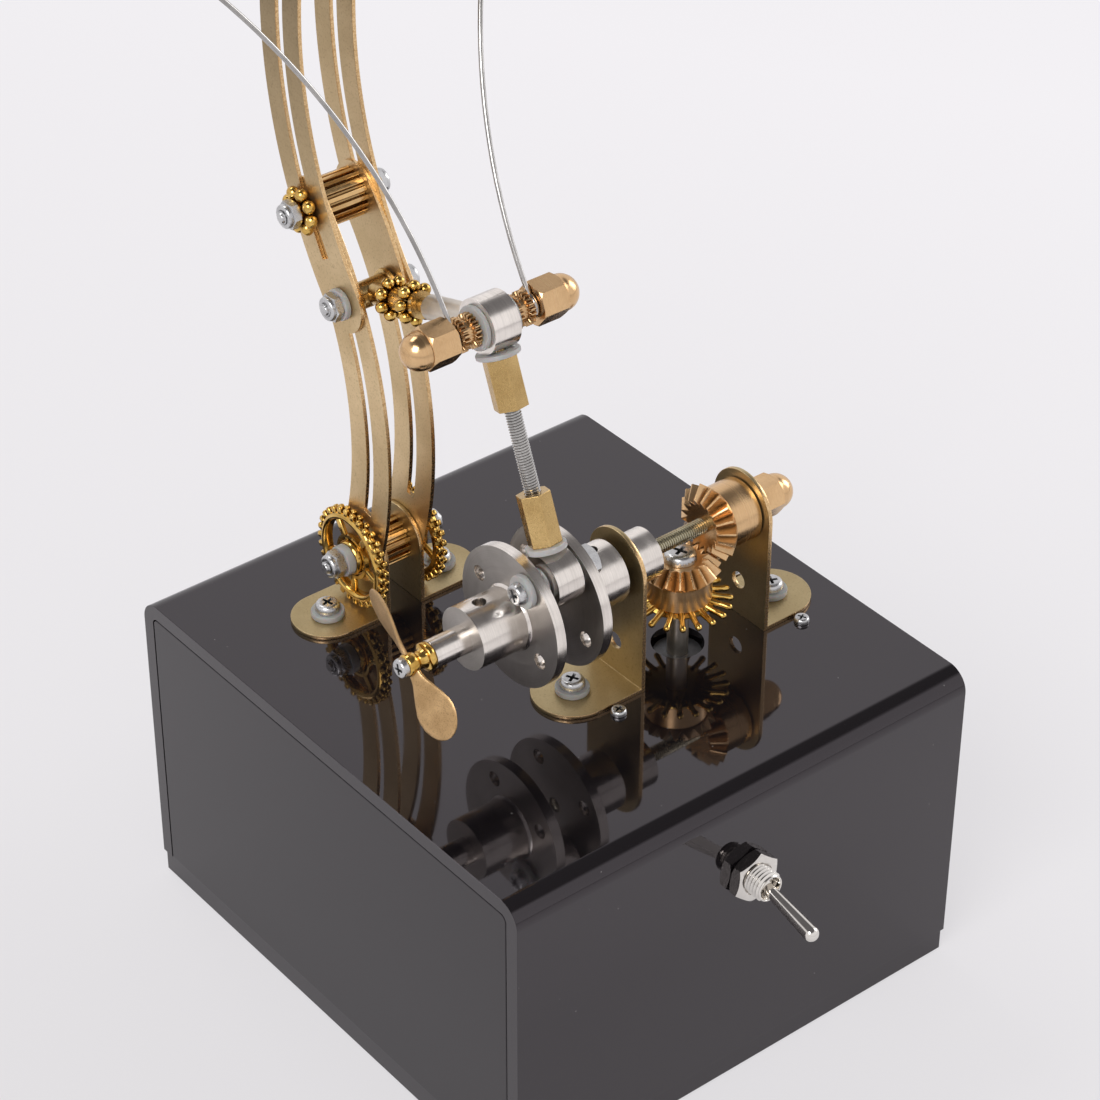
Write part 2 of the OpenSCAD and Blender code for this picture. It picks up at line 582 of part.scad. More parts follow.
// brass propeller: collar on the stub shaft, waisted boss and two flat pitched blades
prop_x = stub_end - 4.1;
prop_turn = 41;
blade_r = 4.9;
module blade() rotate([0, 0, -90]) rotate([0, -prop_pitch, 0]) translate([0, 0, -0.35])
    linear_extrude(0.7) union() {
        translate([0, prop_r - blade_r]) circle(blade_r);
        polygon([[-1.1, 0.6], [1.1, 0.6], [1.5, 3.4], [0.963 * blade_r, prop_r - 1.27 * blade_r],
            [-0.963 * blade_r, prop_r - 1.27 * blade_r], [-1.5, 3.4]]);
    }
module propeller() color(warm) difference() {
    union() {
        along_x(stub_end - 1.4, crank_y, shaft_z) cylinder(d = 5.8, h = 1.38);
        along_x(stub_end - 3.2, crank_y, shaft_z) cylinder(d1 = 3.6, d2 = 4.6, h = 1.9);
        along_x(prop_x - 1.2, crank_y, shaft_z) cylinder(d = 3.8, h = 2.6);
        translate([prop_x, crank_y, shaft_z]) rotate([prop_turn, 0, 0]) rotate([90, 0, 90])
            for (s = [0, 180]) rotate([0, 0, s]) blade();
    }
    rod_x(prop_x - 5, stub_end + 1, 1.02, crank_y, shaft_z);
}
module propeller_screw() color(nickel) union() {
    rod_x(prop_x - 1.4, stub_end + 4, 1, crank_y, shaft_z);
    translate([prop_x - 1.22, crank_y, shaft_z]) rotate([0, -90, 0]) pan_head(3.4, 1.3);
}

// bevel gear, apex at the own origin, gear below it on the own -Z side, a tooth space at own +X
module tooth_space(turn) rotate([0, 0, turn]) rotate([0, 135 + ded_ang, 0])
    translate([0, 0, cone_len - bevel_face - 0.8]) linear_extrude(bevel_face + 1.8)
        polygon([[0, 0], [-2.2, -2.2 * flank], [-2.2, 2.2 * flank]]);
module bevel_blank() rotate_extrude() polygon([
    [0, -bevel_front],
    [(cone_len - bevel_face) * sin(45 - ded_ang) - 0.3, -bevel_front],
    [(cone_len - bevel_face) * sin(45 + add_ang), -(cone_len - bevel_face) * cos(45 + add_ang)],
    [cone_len * sin(45 + add_ang), -cone_len * cos(45 + add_ang)],
    [cone_len * sin(45 - ded_ang), -bevel_back],
    [0, -bevel_back]]);
// the spaces are cut in three passes, so that neighbouring spaces do not run into each other
module bevel_pass(k, turn) for (i = [k : 3 : bevel_teeth - 1]) tooth_space(turn + i * 360 / bevel_teeth);
module bevel(hub_to, bore, turn) difference() {
    union() {
        difference() {
            difference() {
                difference() {
                    bevel_blank();
                    bevel_pass(0, turn);
                }
                bevel_pass(1, turn);
            }
            bevel_pass(2, turn);
        }
        translate([0, 0, -hub_to]) cylinder(d = bevel_hub_d, h = hub_to - bevel_back + 0.1);
    }
    translate([0, 0, -hub_to - 1]) cylinder(r = bore, h = hub_to + 1);
}
bevel_front = (cone_len - bevel_face) * cos(45) + 0.2;
bevel_back = cone_len * cos(45 - ded_ang) + 0.2;
crank_hub_end = bracket_b_x - 0.3 - motor_x;
module crank_bevel_gear() color(warm) translate([motor_x, crank_y, shaft_z]) rotate([0, -90, 0])
    bevel(crank_hub_end, shaft_r + 0.01, 180 + 180 / bevel_teeth);
crown_z = top_z + 10.4;
module motor_bevel_gear() color(warm) translate([motor_x, crank_y, shaft_z])
    bevel(shaft_z - crown_z - 0.7, 2.01, 0);
module motor_shaft() color(nickel) translate([motor_x, crank_y, 0]) difference() {
    translate([0, 0, under_z - 8.5]) cylinder(r = 2, h = shaft_z - bevel_front - 0.2 - under_z + 8.5);
    translate([0, 0, shaft_z - bevel_front - 4.6]) cylinder(d = 2.05, h = 9);
}
module motor_gear_screw() color(nickel) translate([motor_x, crank_y, 0]) union() {
    translate([0, 0, shaft_z - bevel_front + seat]) pan_head(6.2, 1.8);
    translate([0, 0, shaft_z - bevel_front - 4.3]) cylinder(d = 2, h = 4.4);
}
module crown_wheel() color(gold) translate([motor_x, crank_y, crown_z]) difference() {
    union() {
        translate([0, 0, -0.5]) cylinder(r = 6.4, h = 1.18);
        for (i = [0 : crown_fingers - 1]) rotate([0, 0, i * 360 / crown_fingers])
            translate([5.6, 0, 0.1]) rotate([0, 98, 0]) union() {
                cylinder(r = 0.55, h = crown_r - 6.1);
                translate([0, 0, crown_r - 6.1]) sphere(r = 0.62, $fn = 24);
            }
    }
    translate([0, 0, -3]) cylinder(r = 2.01, h = 6);
}

// link: everything from the crank pin to the yoke, own Z along the connecting rod
module on_rod(t) translate([link_x, pin_y, pin_z]) rotate([-rod_lean, 0, 0]) translate([0, 0, t]) children();
low_t = collar_d / 2 + washer_t + 0.06;
high_t = rod_len - collar_d / 2 - 0.96;
module collar_at(y, z) difference() {
    ring_x(link_x - collar_w / 2, link_x + collar_w / 2, collar_d / 2, bore_r, y, z);
    children();
}
module big_end_collar() color(nickel) collar_at(pin_y, pin_z) on_rod(0) cylinder(r = 1.32, h = 8);
module yoke_collar() color(nickel) collar_at(yoke_y, yoke_z) union() {
    on_rod(rod_len - 8) cylinder(r = 1.32, h = 8);
    on_arm(0) cylinder(r = 1.28, h = 8);
}
module link_standoffs() color(warm) union() {
    on_rod(low_t) difference() {
        union() {
            rotate([0, 0, 12]) cylinder(r = hex_af / sqrt(3), h = hex_len, $fn = 6);
            translate([0, 0, -3.4]) cylinder(r = 1.3, h = 3.5);
        }
        translate([0, 0, hex_len - 5]) cylinder(r = 1.52, h = 6);
    }
    on_rod(high_t - hex_len) difference() {
        union() {
            rotate([0, 0, 12]) cylinder(r = hex_af / sqrt(3), h = hex_len, $fn = 6);
            translate([0, 0, hex_len - 0.1]) cylinder(r = 1.3, h = 3.4);
        }
        translate([0, 0, -1]) cylinder(r = 1.52, h = 6);
    }
}
module link_rod() color(nickel) on_rod(low_t + hex_len - 4.6)
    cylinder(r = 1.5, h = high_t - low_t - 2 * hex_len + 9.2);
module link_washers() color(nylon) union() {
    on_rod(collar_d / 2 + 0.04) difference() {
        cylinder(d = 7.4, h = washer_t);
        translate([0, 0, -1]) cylinder(r = 1.32, h = 4);
    }
    on_rod(high_t + 0.02) difference() {
        cylinder(d = 8, h = 0.92);
        translate([0, 0, -1]) cylinder(r = 1.32, h = 4);
    }
    both_sides() ring_x(link_x + collar_w / 2 + 0.02, link_x + yoke_w1, 4.1, shaft_r + 0.02, yoke_y, yoke_z);
}

// yoke: pin through the collar, held by knurled nuts, wire loops and dome nuts
yoke_w1 = collar_w / 2 + 1;
yoke_k1 = yoke_w1 + knurl_len;
yoke_n0 = yoke_k1 + wire_d + 0.2;
module yoke_pin() color(nickel)
    rod_x(link_x - yoke_n0 - 5.8, link_x + yoke_n0 + 5.8, shaft_r, yoke_y, yoke_z);
module knurled_nut() difference() {
    union() {
        cylinder(r = 2.5, h = knurl_len - 0.04);
        cylinder(r = 3.2, h = knurl_len * 0.36);
        translate([0, 0, knurl_len * 0.64]) cylinder(r = 3.2, h = knurl_len * 0.36 - 0.04);
    }
    translate([0, 0, -1]) cylinder(r = shaft_r + 0.01, h = knurl_len + 2);
}
module knurled_nuts() color(warm) both_sides()
    along_x(link_x + yoke_w1 + 0.02, yoke_y, yoke_z) knurled_nut();
module yoke_dome_nuts() color(warm) both_sides() along_x(link_x + yoke_n0 + seat, yoke_y, yoke_z)
    rotate([0, 0, 8]) dome_nut();

// guide arm: sleeve, two bead rings, spacers and a cross roller that runs in the gap of the mast
module on_arm(t) translate([link_x, yoke_y, yoke_z]) rotate([-90 - arm_drop, 0, 0])
    translate([0, 0, t]) children();
module guide_arm() color(warm) union() {
    on_arm(3) cylinder(r = 1.25, h = arm_len - 4);
    on_arm(collar_d / 2 + 0.02) cylinder(d = sleeve_d, h = 12.6);
    on_arm(arm_len - 16.4) cylinder(d = 5, h = 1);
    on_arm(arm_len - 15.4) rotate([0, 0, 10]) bead_ring(1);
    on_arm(arm_len - 13.2) cylinder(d = 4.4, h = 4.2);
    on_arm(arm_len - 9) rotate([0, 0, 32]) bead_ring(1);
    on_arm(arm_len - 6.8) cylinder(d = 4, h = 5);
    rod_x(link_x - in_x + 1.3, link_x + in_x - 1.3, 2.5, lap[0], lap[1]);
    both_sides() rod_x(link_x + in_x - 1.4, link_x + in_x - 0.35, 3.3, lap[0], lap[1]);
}

// push wires: loop on the yoke pin, bowed rising wire, small eye at the upper end
loop_r = shaft_r + 0.1 + wire_d / 2;
eye_r = 1.6;
module wire_ring(r) rotate([90, 0, 0]) rotate_extrude() translate([r, 0]) circle(d = wire_d + 0.1, $fn = 24);
module wire_one() translate([link_x + yoke_k1 + 0.1 + wire_d / 2, yoke_y, yoke_z]) union() {
    rotate([0, 0, 90]) wire_ring(loop_r);
    translate([0, 0, loop_r]) rotate([-wire_lean, 0, 0]) union() {
        translate([wire_arc, 0, 0]) mirror([1, 0, 0]) rotate([90, 0, 0]) rotate_extrude(angle = wire_sweep)
            translate([wire_arc, 0]) circle(d = wire_d, $fn = 24);
        translate([wire_arc * (1 - cos(wire_sweep)), 0, wire_arc * sin(wire_sweep)])
            rotate([0, wire_sweep, 0]) translate([0, 0, eye_r]) wire_ring(eye_r);
    }
}
module push_wires() color(nickel) both_sides() wire_one();

base_plate();
hood();
side_panel_left();
side_panel_right();
corner_blocks();
base_screws();
gear_motor();
motor_screws();
battery_holder();
battery_cells();
toggle_body();
toggle_nut();
toggle_lever();
bracket_inner();
bracket_outer();
foot_screws();
foot_washers();
foot_nuts();
mast_bracket_left();
mast_bracket_right();
mast_lower_left();
mast_lower_right();
mast_upper_left();
mast_upper_right();
mast_pivot_bolt();
mast_pivot_washers();
mast_base_pinion();
wheel_left();
wheel_right();
mast_joint_bolt();
mast_joint_pinion();
mast_bead_rings();
mast_lap_bolts();
mast_lap_washers();
crank_shaft();
flange_left();
flange_right();
crank_pin();
crank_washers();
stub_shaft();
propeller();
propeller_screw();
crank_collar();
crank_bevel_gear();
crank_end_spacer();
crank_dome_nut();
motor_shaft();
motor_bevel_gear();
crown_wheel();
motor_gear_screw();
big_end_collar();
link_standoffs();
link_rod();
link_washers();
yoke_collar();
yoke_pin();
knurled_nuts();
yoke_dome_nuts();
guide_arm();
push_wires();
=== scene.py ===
import json
import math

import bmesh
import bpy
from mathutils import Matrix, Vector


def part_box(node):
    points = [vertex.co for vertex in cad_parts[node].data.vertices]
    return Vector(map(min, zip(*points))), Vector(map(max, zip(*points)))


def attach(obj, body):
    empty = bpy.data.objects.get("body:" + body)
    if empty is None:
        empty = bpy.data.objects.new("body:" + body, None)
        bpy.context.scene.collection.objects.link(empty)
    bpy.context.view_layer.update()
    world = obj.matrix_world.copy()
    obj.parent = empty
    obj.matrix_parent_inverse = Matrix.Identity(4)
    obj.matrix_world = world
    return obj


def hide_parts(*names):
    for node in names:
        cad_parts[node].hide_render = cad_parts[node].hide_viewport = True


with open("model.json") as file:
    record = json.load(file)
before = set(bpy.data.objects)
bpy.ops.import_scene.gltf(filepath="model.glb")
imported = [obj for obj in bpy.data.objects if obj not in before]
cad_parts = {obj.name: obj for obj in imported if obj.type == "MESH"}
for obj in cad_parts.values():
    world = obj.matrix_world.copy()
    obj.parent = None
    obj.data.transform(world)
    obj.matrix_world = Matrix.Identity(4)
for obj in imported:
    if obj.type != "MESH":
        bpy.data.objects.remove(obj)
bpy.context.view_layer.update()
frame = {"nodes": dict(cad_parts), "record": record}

nodes = frame["nodes"]
BODY_OF = {n: b for b, members in frame["record"]["behaviour"]["bodies"].items() for n in members}
MM = 0.001


# main places of the drive, in millimetres, worked out from the solids

def span(node):
    """Lowest and highest corner of a solid."""
    low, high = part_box(node)
    return Vector(low) / MM, Vector(high) / MM


def middle(node):
    low, high = span(node)
    return (low + high) / 2


def foot(bracket, end):
    """Screw place in the round foot of a bracket, at its low (0) or high (1) end along X."""
    corners = span(bracket)
    inset = (corners[1].y - corners[0].y) / 2
    return corners[end].x + (-inset if end else inset), middle(bracket).y


# places across the drive as (y, z), the motor and the feet as (x, y)
LINK_X = middle("link_rod").x
SHAFT = middle("crank_shaft").yz
PIN = middle("crank_pin").yz
YOKE = middle("yoke_pin").yz
PIVOT = middle("mast_pivot_bolt").yz
JOINT = middle("mast_joint_bolt").yz
LAP = middle("mast_lap_bolts").yz
MOTOR = middle("crown_wheel").xy
FEET = (foot("bracket_inner", 0), foot("bracket_outer", 1),
        foot("mast_bracket_left", 0), foot("mast_bracket_right", 1))
FRONT_Y = span("hood")[0].y
TOP_Z = span("hood")[1].z
MAST_TOP = span("mast_upper_left")[1].z
ROD_LEAN = math.atan2(YOKE[0] - PIN[0], YOKE[1] - PIN[1])
ARM_DROP = math.atan2(YOKE[1] - LAP[1], LAP[0] - YOKE[0])
ARM_LEN = (LAP - YOKE).length


# camera, light and stage

CAMERA_LENS, CAMERA_SENSOR = 110.12, 36.0
CAMERA_TURN, CAMERA_RISE, CAMERA_ROLL = math.radians(-38.80), math.radians(35.60), math.radians(0.153)
CAMERA_PLACE = Vector((-0.31263, -0.38908, 0.44395))
LAMP_AIM = Vector((0, 0, 0.09))
FLOOR_HALF, FLOOR_Z = 4.0, -0.0003


def set_camera():
    cam = bpy.data.cameras.new("view_camera")
    cam.sensor_fit = "HORIZONTAL"
    cam.sensor_width = CAMERA_SENSOR
    cam.lens = CAMERA_LENS
    cam.clip_start = 0.01
    cam.clip_end = 40.0
    level = math.cos(CAMERA_RISE)
    back = Vector((math.sin(CAMERA_TURN) * level, -math.cos(CAMERA_TURN) * level, math.sin(CAMERA_RISE)))
    right = Vector((math.cos(CAMERA_TURN), math.sin(CAMERA_TURN), 0.0))
    up = back.cross(right)
    c, s = math.cos(CAMERA_ROLL), math.sin(CAMERA_ROLL)
    place = Matrix((c * right + s * up, c * up - s * right, back)).transposed().to_4x4()
    place.translation = CAMERA_PLACE
    obj = bpy.data.objects.new("view_camera", cam)
    obj.matrix_world = place
    bpy.context.scene.collection.objects.link(obj)
    bpy.context.scene.camera = obj


def add_lamp(name, spot, size, watts):
    lamp = bpy.data.lights.new(name, "AREA")
    lamp.shape = "RECTANGLE"
    lamp.size, lamp.size_y = size
    lamp.energy = watts
    obj = bpy.data.objects.new(name, lamp)
    obj.location = spot
    obj.rotation_euler = (LAMP_AIM - Vector(spot)).to_track_quat("-Z", "Y").to_euler()
    bpy.context.scene.collection.objects.link(obj)


class Graph:
    """Small helper to place and join shader nodes of one tree."""

    def __init__(self, tree):
        self.tree = tree

    def put(self, kind, **settings):
        node = self.tree.nodes.new(kind)
        for key, value in settings.items():
            setattr(node, key, value)
        return node

    def join(self, source, target):
        self.tree.links.new(source, target)

    def feed(self, socket, value):
        if hasattr(value, "is_output"):
            self.join(value, socket)
        else:
            socket.default_value = value

    def math(self, operation, a, b=None):
        node = self.put("ShaderNodeMath", operation=operation)
        self.feed(node.inputs[0], a)
        if b is not None:
            self.feed(node.inputs[1], b)
        return node.outputs[0]

    def vector(self, operation, a, b=None):
        node = self.put("ShaderNodeVectorMath", operation=operation)
        self.feed(node.inputs[0], a)
        if b is not None:
            self.feed(node.inputs[1], b)
        return node.outputs["Value"] if operation in ("DOT_PRODUCT", "LENGTH") else node.outputs[0]

    def remap(self, value, low, high, out_low=0.0, out_high=1.0, smooth=False):
        node = self.put("ShaderNodeMapRange", clamp=True)
        node.interpolation_type = "SMOOTHSTEP" if smooth else "LINEAR"
        self.feed(node.inputs["Value"], value)
        self.feed(node.inputs["From Min"], low)
        self.feed(node.inputs["From Max"], high)
        self.feed(node.inputs["To Min"], out_low)
        self.feed(node.inputs["To Max"], out_high)
        return node.outputs["Result"]

    def blend(self, factor, a, b):
        node = self.put("ShaderNodeMix", data_type="RGBA")
        self.feed(node.inputs[0], factor)
        self.feed(node.inputs[6], a if hasattr(a, "is_output") else (*a, 1.0))
        self.feed(node.inputs[7], b if hasattr(b, "is_output") else (*b, 1.0))
        return node.outputs[2]

    def noise(self, vector, scale, detail=3.0, rough=0.5):
        node = self.put("ShaderNodeTexNoise")
        self.feed(node.inputs["Vector"], vector)
        self.feed(node.inputs["Scale"], scale)
        node.inputs["Detail"].default_value = detail
        node.inputs["Roughness"].default_value = rough
        return node.outputs["Fac"]

    def place(self):
        return self.put("ShaderNodeTexCoord").outputs["Object"]


def set_world():
    world = bpy.data.worlds.new("studio_room")
    bpy.context.scene.world = world
    world.use_nodes = True
    g = Graph(world.node_tree)
    world.node_tree.nodes.clear()
    direction = g.put("ShaderNodeTexCoord").outputs["Generated"]
    height = g.put("ShaderNodeSeparateXYZ")
    g.join(direction, height.inputs[0])
    fall = g.remap(height.outputs["Z"], 0.62, 0.77, 0.0, 1.0, smooth=True)
    tone = g.blend(fall, (0.92, 0.905, 0.92), (0.15, 0.145, 0.15))
    back = g.put("ShaderNodeBackground")
    g.join(tone, back.inputs["Color"])
    back.inputs["Strength"].default_value = 1.0
    out = g.put("ShaderNodeOutputWorld")
    g.join(back.outputs[0], out.inputs["Surface"])


def set_floor():
    bm = bmesh.new()
    bmesh.ops.create_grid(bm, x_segments=2, y_segments=2, size=FLOOR_HALF)
    bmesh.ops.translate(bm, verts=bm.verts, vec=(0, 0, FLOOR_Z))
    mesh = bpy.data.meshes.new("floor")
    bm.to_mesh(mesh)
    bm.free()
    obj = bpy.data.objects.new("floor", mesh)
    bpy.context.scene.collection.objects.link(obj)
    mat = bpy.data.materials.new("pale_floor")
    mat.use_nodes = True
    g = Graph(mat.node_tree)
    mat.node_tree.nodes.clear()
    path = g.put("ShaderNodeLightPath")
    direct = g.math("MAXIMUM", path.outputs["Is Camera Ray"], path.outputs["Is Transmission Ray"])
    mirrored = g.math("MULTIPLY", path.outputs["Is Glossy Ray"], 0.25)
    seen = g.math("MAXIMUM", g.math("MULTIPLY", direct, 0.72), mirrored)
    # painted light: the floor's glow grows brighter along this direction, standing for how the light falls
    # off across the floor
    depth = g.vector("DOT_PRODUCT", g.place(), (0.85, 0.53, 0.0))
    painted_light_sweep = g.remap(depth, -0.22, 0.36)
    paper = g.put("ShaderNodeBsdfDiffuse")
    paper.inputs["Color"].default_value = (0.80, 0.79, 0.80, 1)
    glow = g.put("ShaderNodeEmission")
    g.join(g.blend(painted_light_sweep, (0.715, 0.70, 0.715), (0.925, 0.905, 0.935)), glow.inputs["Color"])
    mix = g.put("ShaderNodeMixShader")
    g.join(seen, mix.inputs[0])
    g.join(paper.outputs[0], mix.inputs[1])
    g.join(glow.outputs[0], mix.inputs[2])
    out = g.put("ShaderNodeOutputMaterial")
    g.join(mix.outputs[0], out.inputs["Surface"])
    mesh.materials.append(mat)


# shared effects as node groups

def new_group(name, ins, outs):
    tree = bpy.data.node_groups.new(name, "ShaderNodeTree")
    for label, kind, value in ins:
        socket = tree.interface.new_socket(name=label, in_out="INPUT", socket_type=kind)
        socket.default_value = value
    for label, kind in outs:
        tree.interface.new_socket(name=label, in_out="OUTPUT", socket_type=kind)
    g = Graph(tree)
    return tree, g, g.put("NodeGroupInput"), g.put("NodeGroupOutput")


def make_grain_group():
    """Fine speckle and broad clouding of a metal or plastic surface."""
    tree, g, given, result = new_group("surface_grain", [
        ("Speckle Scale", "NodeSocketFloat", 3500.0), ("Cloud Scale", "NodeSocketFloat", 120.0)],
        [("Speckle", "NodeSocketFloat"), ("Cloud", "NodeSocketFloat")])
    spot = g.place()
    g.join(g.noise(spot, given.outputs["Speckle Scale"], 2.0, 0.6), result.inputs["Speckle"])
    g.join(g.noise(spot, given.outputs["Cloud Scale"], 4.0, 0.55), result.inputs["Cloud"])
    return tree


def make_turning_group():
    """Lathe lines round an axis, on faces across it and along it."""
    tree, g, given, result = new_group("lathe_lines", [
        ("Centre", "NodeSocketVector", (0, 0, 0)), ("Axis", "NodeSocketVector", (1, 0, 0)),
        ("Lines", "NodeSocketFloat", 4000.0)], [("Lines", "NodeSocketFloat"), ("Broad", "NodeSocketFloat")])
    spot = g.vector("SUBTRACT", g.place(), given.outputs["Centre"])
    along = g.vector("DOT_PRODUCT", spot, given.outputs["Axis"])
    scale = g.put("ShaderNodeVectorMath", operation="SCALE")
    g.join(given.outputs["Axis"], scale.inputs[0])
    g.join(along, scale.inputs["Scale"])
    radius = g.vector("LENGTH", g.vector("SUBTRACT", spot, scale.outputs[0]))
    pair = g.put("ShaderNodeCombineXYZ")
    g.join(radius, pair.inputs[0])
    g.join(along, pair.inputs[1])
    g.join(g.noise(pair.outputs[0], given.outputs["Lines"], 3.0, 0.6), result.inputs["Lines"])
    broad = g.math("MULTIPLY", given.outputs["Lines"], 0.12)
    g.join(g.noise(pair.outputs[0], broad, 2.0), result.inputs["Broad"])
    return tree


def make_edge_group():
    """1 on the cut edge of a sheet whose faces look along the two given axes, 0 on its faces."""
    tree, g, given, result = new_group("sheet_edge", [
        ("Face Axis", "NodeSocketVector", (1, 0, 0)), ("Second Axis", "NodeSocketVector", (1, 0, 0))],
        [("Edge", "NodeSocketFloat")])
    normal = g.put("ShaderNodeTexCoord").outputs["Normal"]
    first = g.math("ABSOLUTE", g.vector("DOT_PRODUCT", normal, given.outputs["Face Axis"]))
    second = g.math("ABSOLUTE", g.vector("DOT_PRODUCT", normal, given.outputs["Second Axis"]))
    flat = g.math("MAXIMUM", first, second)
    g.join(g.remap(flat, 0.75, 0.97, 1.0, 0.0), result.inputs["Edge"])
    return tree


def make_dust_group():
    """Sparse dust specks and faint wiping streaks on a polished face."""
    tree, g, given, result = new_group("dust_and_wipe", [
        ("Speck Scale", "NodeSocketFloat", 260.0), ("Speck Size", "NodeSocketFloat", 0.05)],
        [("Specks", "NodeSocketFloat"), ("Wipe", "NodeSocketFloat")])
    spot = g.place()
    cells = g.put("ShaderNodeTexVoronoi")
    g.join(spot, cells.inputs["Vector"])
    g.join(given.outputs["Speck Scale"], cells.inputs["Scale"])
    dot = g.math("LESS_THAN", cells.outputs["Distance"], given.outputs["Speck Size"])
    keep = g.put("ShaderNodeSeparateColor")
    g.join(cells.outputs["Color"], keep.inputs[0])
    g.join(g.math("MULTIPLY", dot, g.math("GREATER_THAN", keep.outputs[0], 0.72)), result.inputs["Specks"])
    stretch = g.put("ShaderNodeMapping")
    g.join(spot, stretch.inputs["Vector"])
    stretch.inputs["Scale"].default_value = (1.0, 0.25, 1.0)
    g.join(g.noise(stretch.outputs[0], 90.0, 4.0, 0.6), result.inputs["Wipe"])
    return tree


def make_gap_shade_group():
    """1 on open faces, falling to 0 in narrow gaps of the same piece: the mask for painted shade in gaps."""
    tree, g, given, result = new_group("painted_shade_in_gaps", [("Reach", "NodeSocketFloat", MM)],
                                       [("Open", "NodeSocketFloat")])
    walls = g.put("ShaderNodeAmbientOcclusion", samples=6, only_local=True)
    g.join(given.outputs["Reach"], walls.inputs["Distance"])
    g.join(g.remap(walls.outputs["AO"], 0.30, 0.85), result.inputs["Open"])
    return tree


GRAIN, TURNING, EDGE = make_grain_group(), make_turning_group(), make_edge_group()
DUST, SHADE_IN_GAPS = make_dust_group(), make_gap_shade_group()


# materials

# painted shade in narrow gaps: share of the dark tone that is left there, and how far apart their walls are
PAINTED_SHADE_SHARE = 0.36
TURNED_GAP, CAST_GAP, THREAD_GAP = 1.1 * MM, 0.9 * MM, 0.45 * MM


def new_material(name, metallic, ior=1.5):
    mat = bpy.data.materials.new(name)
    mat.use_nodes = True
    shader = mat.node_tree.nodes["Principled BSDF"]
    shader.inputs["Metallic"].default_value = metallic
    shader.inputs["IOR"].default_value = ior
    return mat, Graph(mat.node_tree), shader


def use_group(g, tree, **values):
    node = g.put("ShaderNodeGroup", node_tree=tree)
    for key, value in values.items():
        node.inputs[key.replace("_", " ")].default_value = value
    return node


def bump(g, shader, height, strength, distance):
    node = g.put("ShaderNodeBump")
    node.inputs["Strength"].default_value = strength
    node.inputs["Distance"].default_value = distance
    g.join(height, node.inputs["Height"])
    g.join(node.outputs[0], shader.inputs["Normal"])


# painted shade: the base colour falls towards a darkened copy of the dark tone in narrow gaps of the piece
def paint_shade_in_gaps(g, shader, tone, dark, gap):
    open_face = use_group(g, SHADE_IN_GAPS, Reach=gap).outputs["Open"]
    g.join(g.blend(open_face, tuple(PAINTED_SHADE_SHARE * c for c in dark), tone), shader.inputs["Base Color"])


def black_acrylic(name, ior):
    mat, g, shader = new_material(name, 0.0, ior)
    dust = use_group(g, DUST, Speck_Scale=330.0, Speck_Size=0.045)
    specks = g.math("MULTIPLY", dust.outputs["Specks"], 0.35)
    g.join(g.blend(specks, (0.0055, 0.0046, 0.0052), (0.30, 0.29, 0.28)), shader.inputs["Base Color"])
    g.join(g.remap(dust.outputs["Wipe"], 0.35, 0.7, 0.02, 0.06), shader.inputs["Roughness"])
    shader.inputs["Specular Tint"].default_value = (1.0, 0.91, 0.98, 1.0)
    return mat


def sheet_brass(name, axes, light=(0.56, 0.445, 0.25), dark=(0.44, 0.34, 0.18), top_darkening=0.0):
    """Rolled brass sheet with a matte speckled face and smoother sheared edges whose brighter colour is a
    painted highlight.

    It can be made darker from the mast lap to the mast top, by the given share.
    """
    mat, g, shader = new_material(name, 1.0)
    grain = use_group(g, GRAIN, Speckle_Scale=2600.0, Cloud_Scale=70.0)
    edge = use_group(g, EDGE, Face_Axis=axes[0], Second_Axis=axes[1])
    face = g.blend(g.remap(grain.outputs["Cloud"], 0.35, 0.65), dark, light)
    face = g.blend(g.remap(grain.outputs["Speckle"], 0.56, 0.72, 0.0, 0.5), face, (0.30, 0.22, 0.12))
    height = g.put("ShaderNodeSeparateXYZ")
    g.join(g.place(), height.inputs[0])
    # darker towards the mast top, by the given share
    upward_darkening = g.remap(height.outputs["Z"], LAP[1] * MM, MAST_TOP * MM, 0.0, top_darkening)
    face = g.blend(upward_darkening, face, (0.12, 0.088, 0.045))
    # painted highlight: the sheared edges get a brighter colour than the face
    rim = g.blend(g.remap(grain.outputs["Speckle"], 0.4, 0.62), (0.80, 0.56, 0.30), (0.62, 0.40, 0.19))
    g.join(g.blend(edge.outputs["Edge"], face, rim), shader.inputs["Base Color"])
    rough = g.remap(grain.outputs["Speckle"], 0.3, 0.7, 0.30, 0.45)
    smoother = g.math("MULTIPLY", edge.outputs["Edge"], 0.12)
    g.join(g.math("SUBTRACT", rough, smoother), shader.inputs["Roughness"])
    bump(g, shader, grain.outputs["Speckle"], 0.25, 0.08 * MM)
    return mat


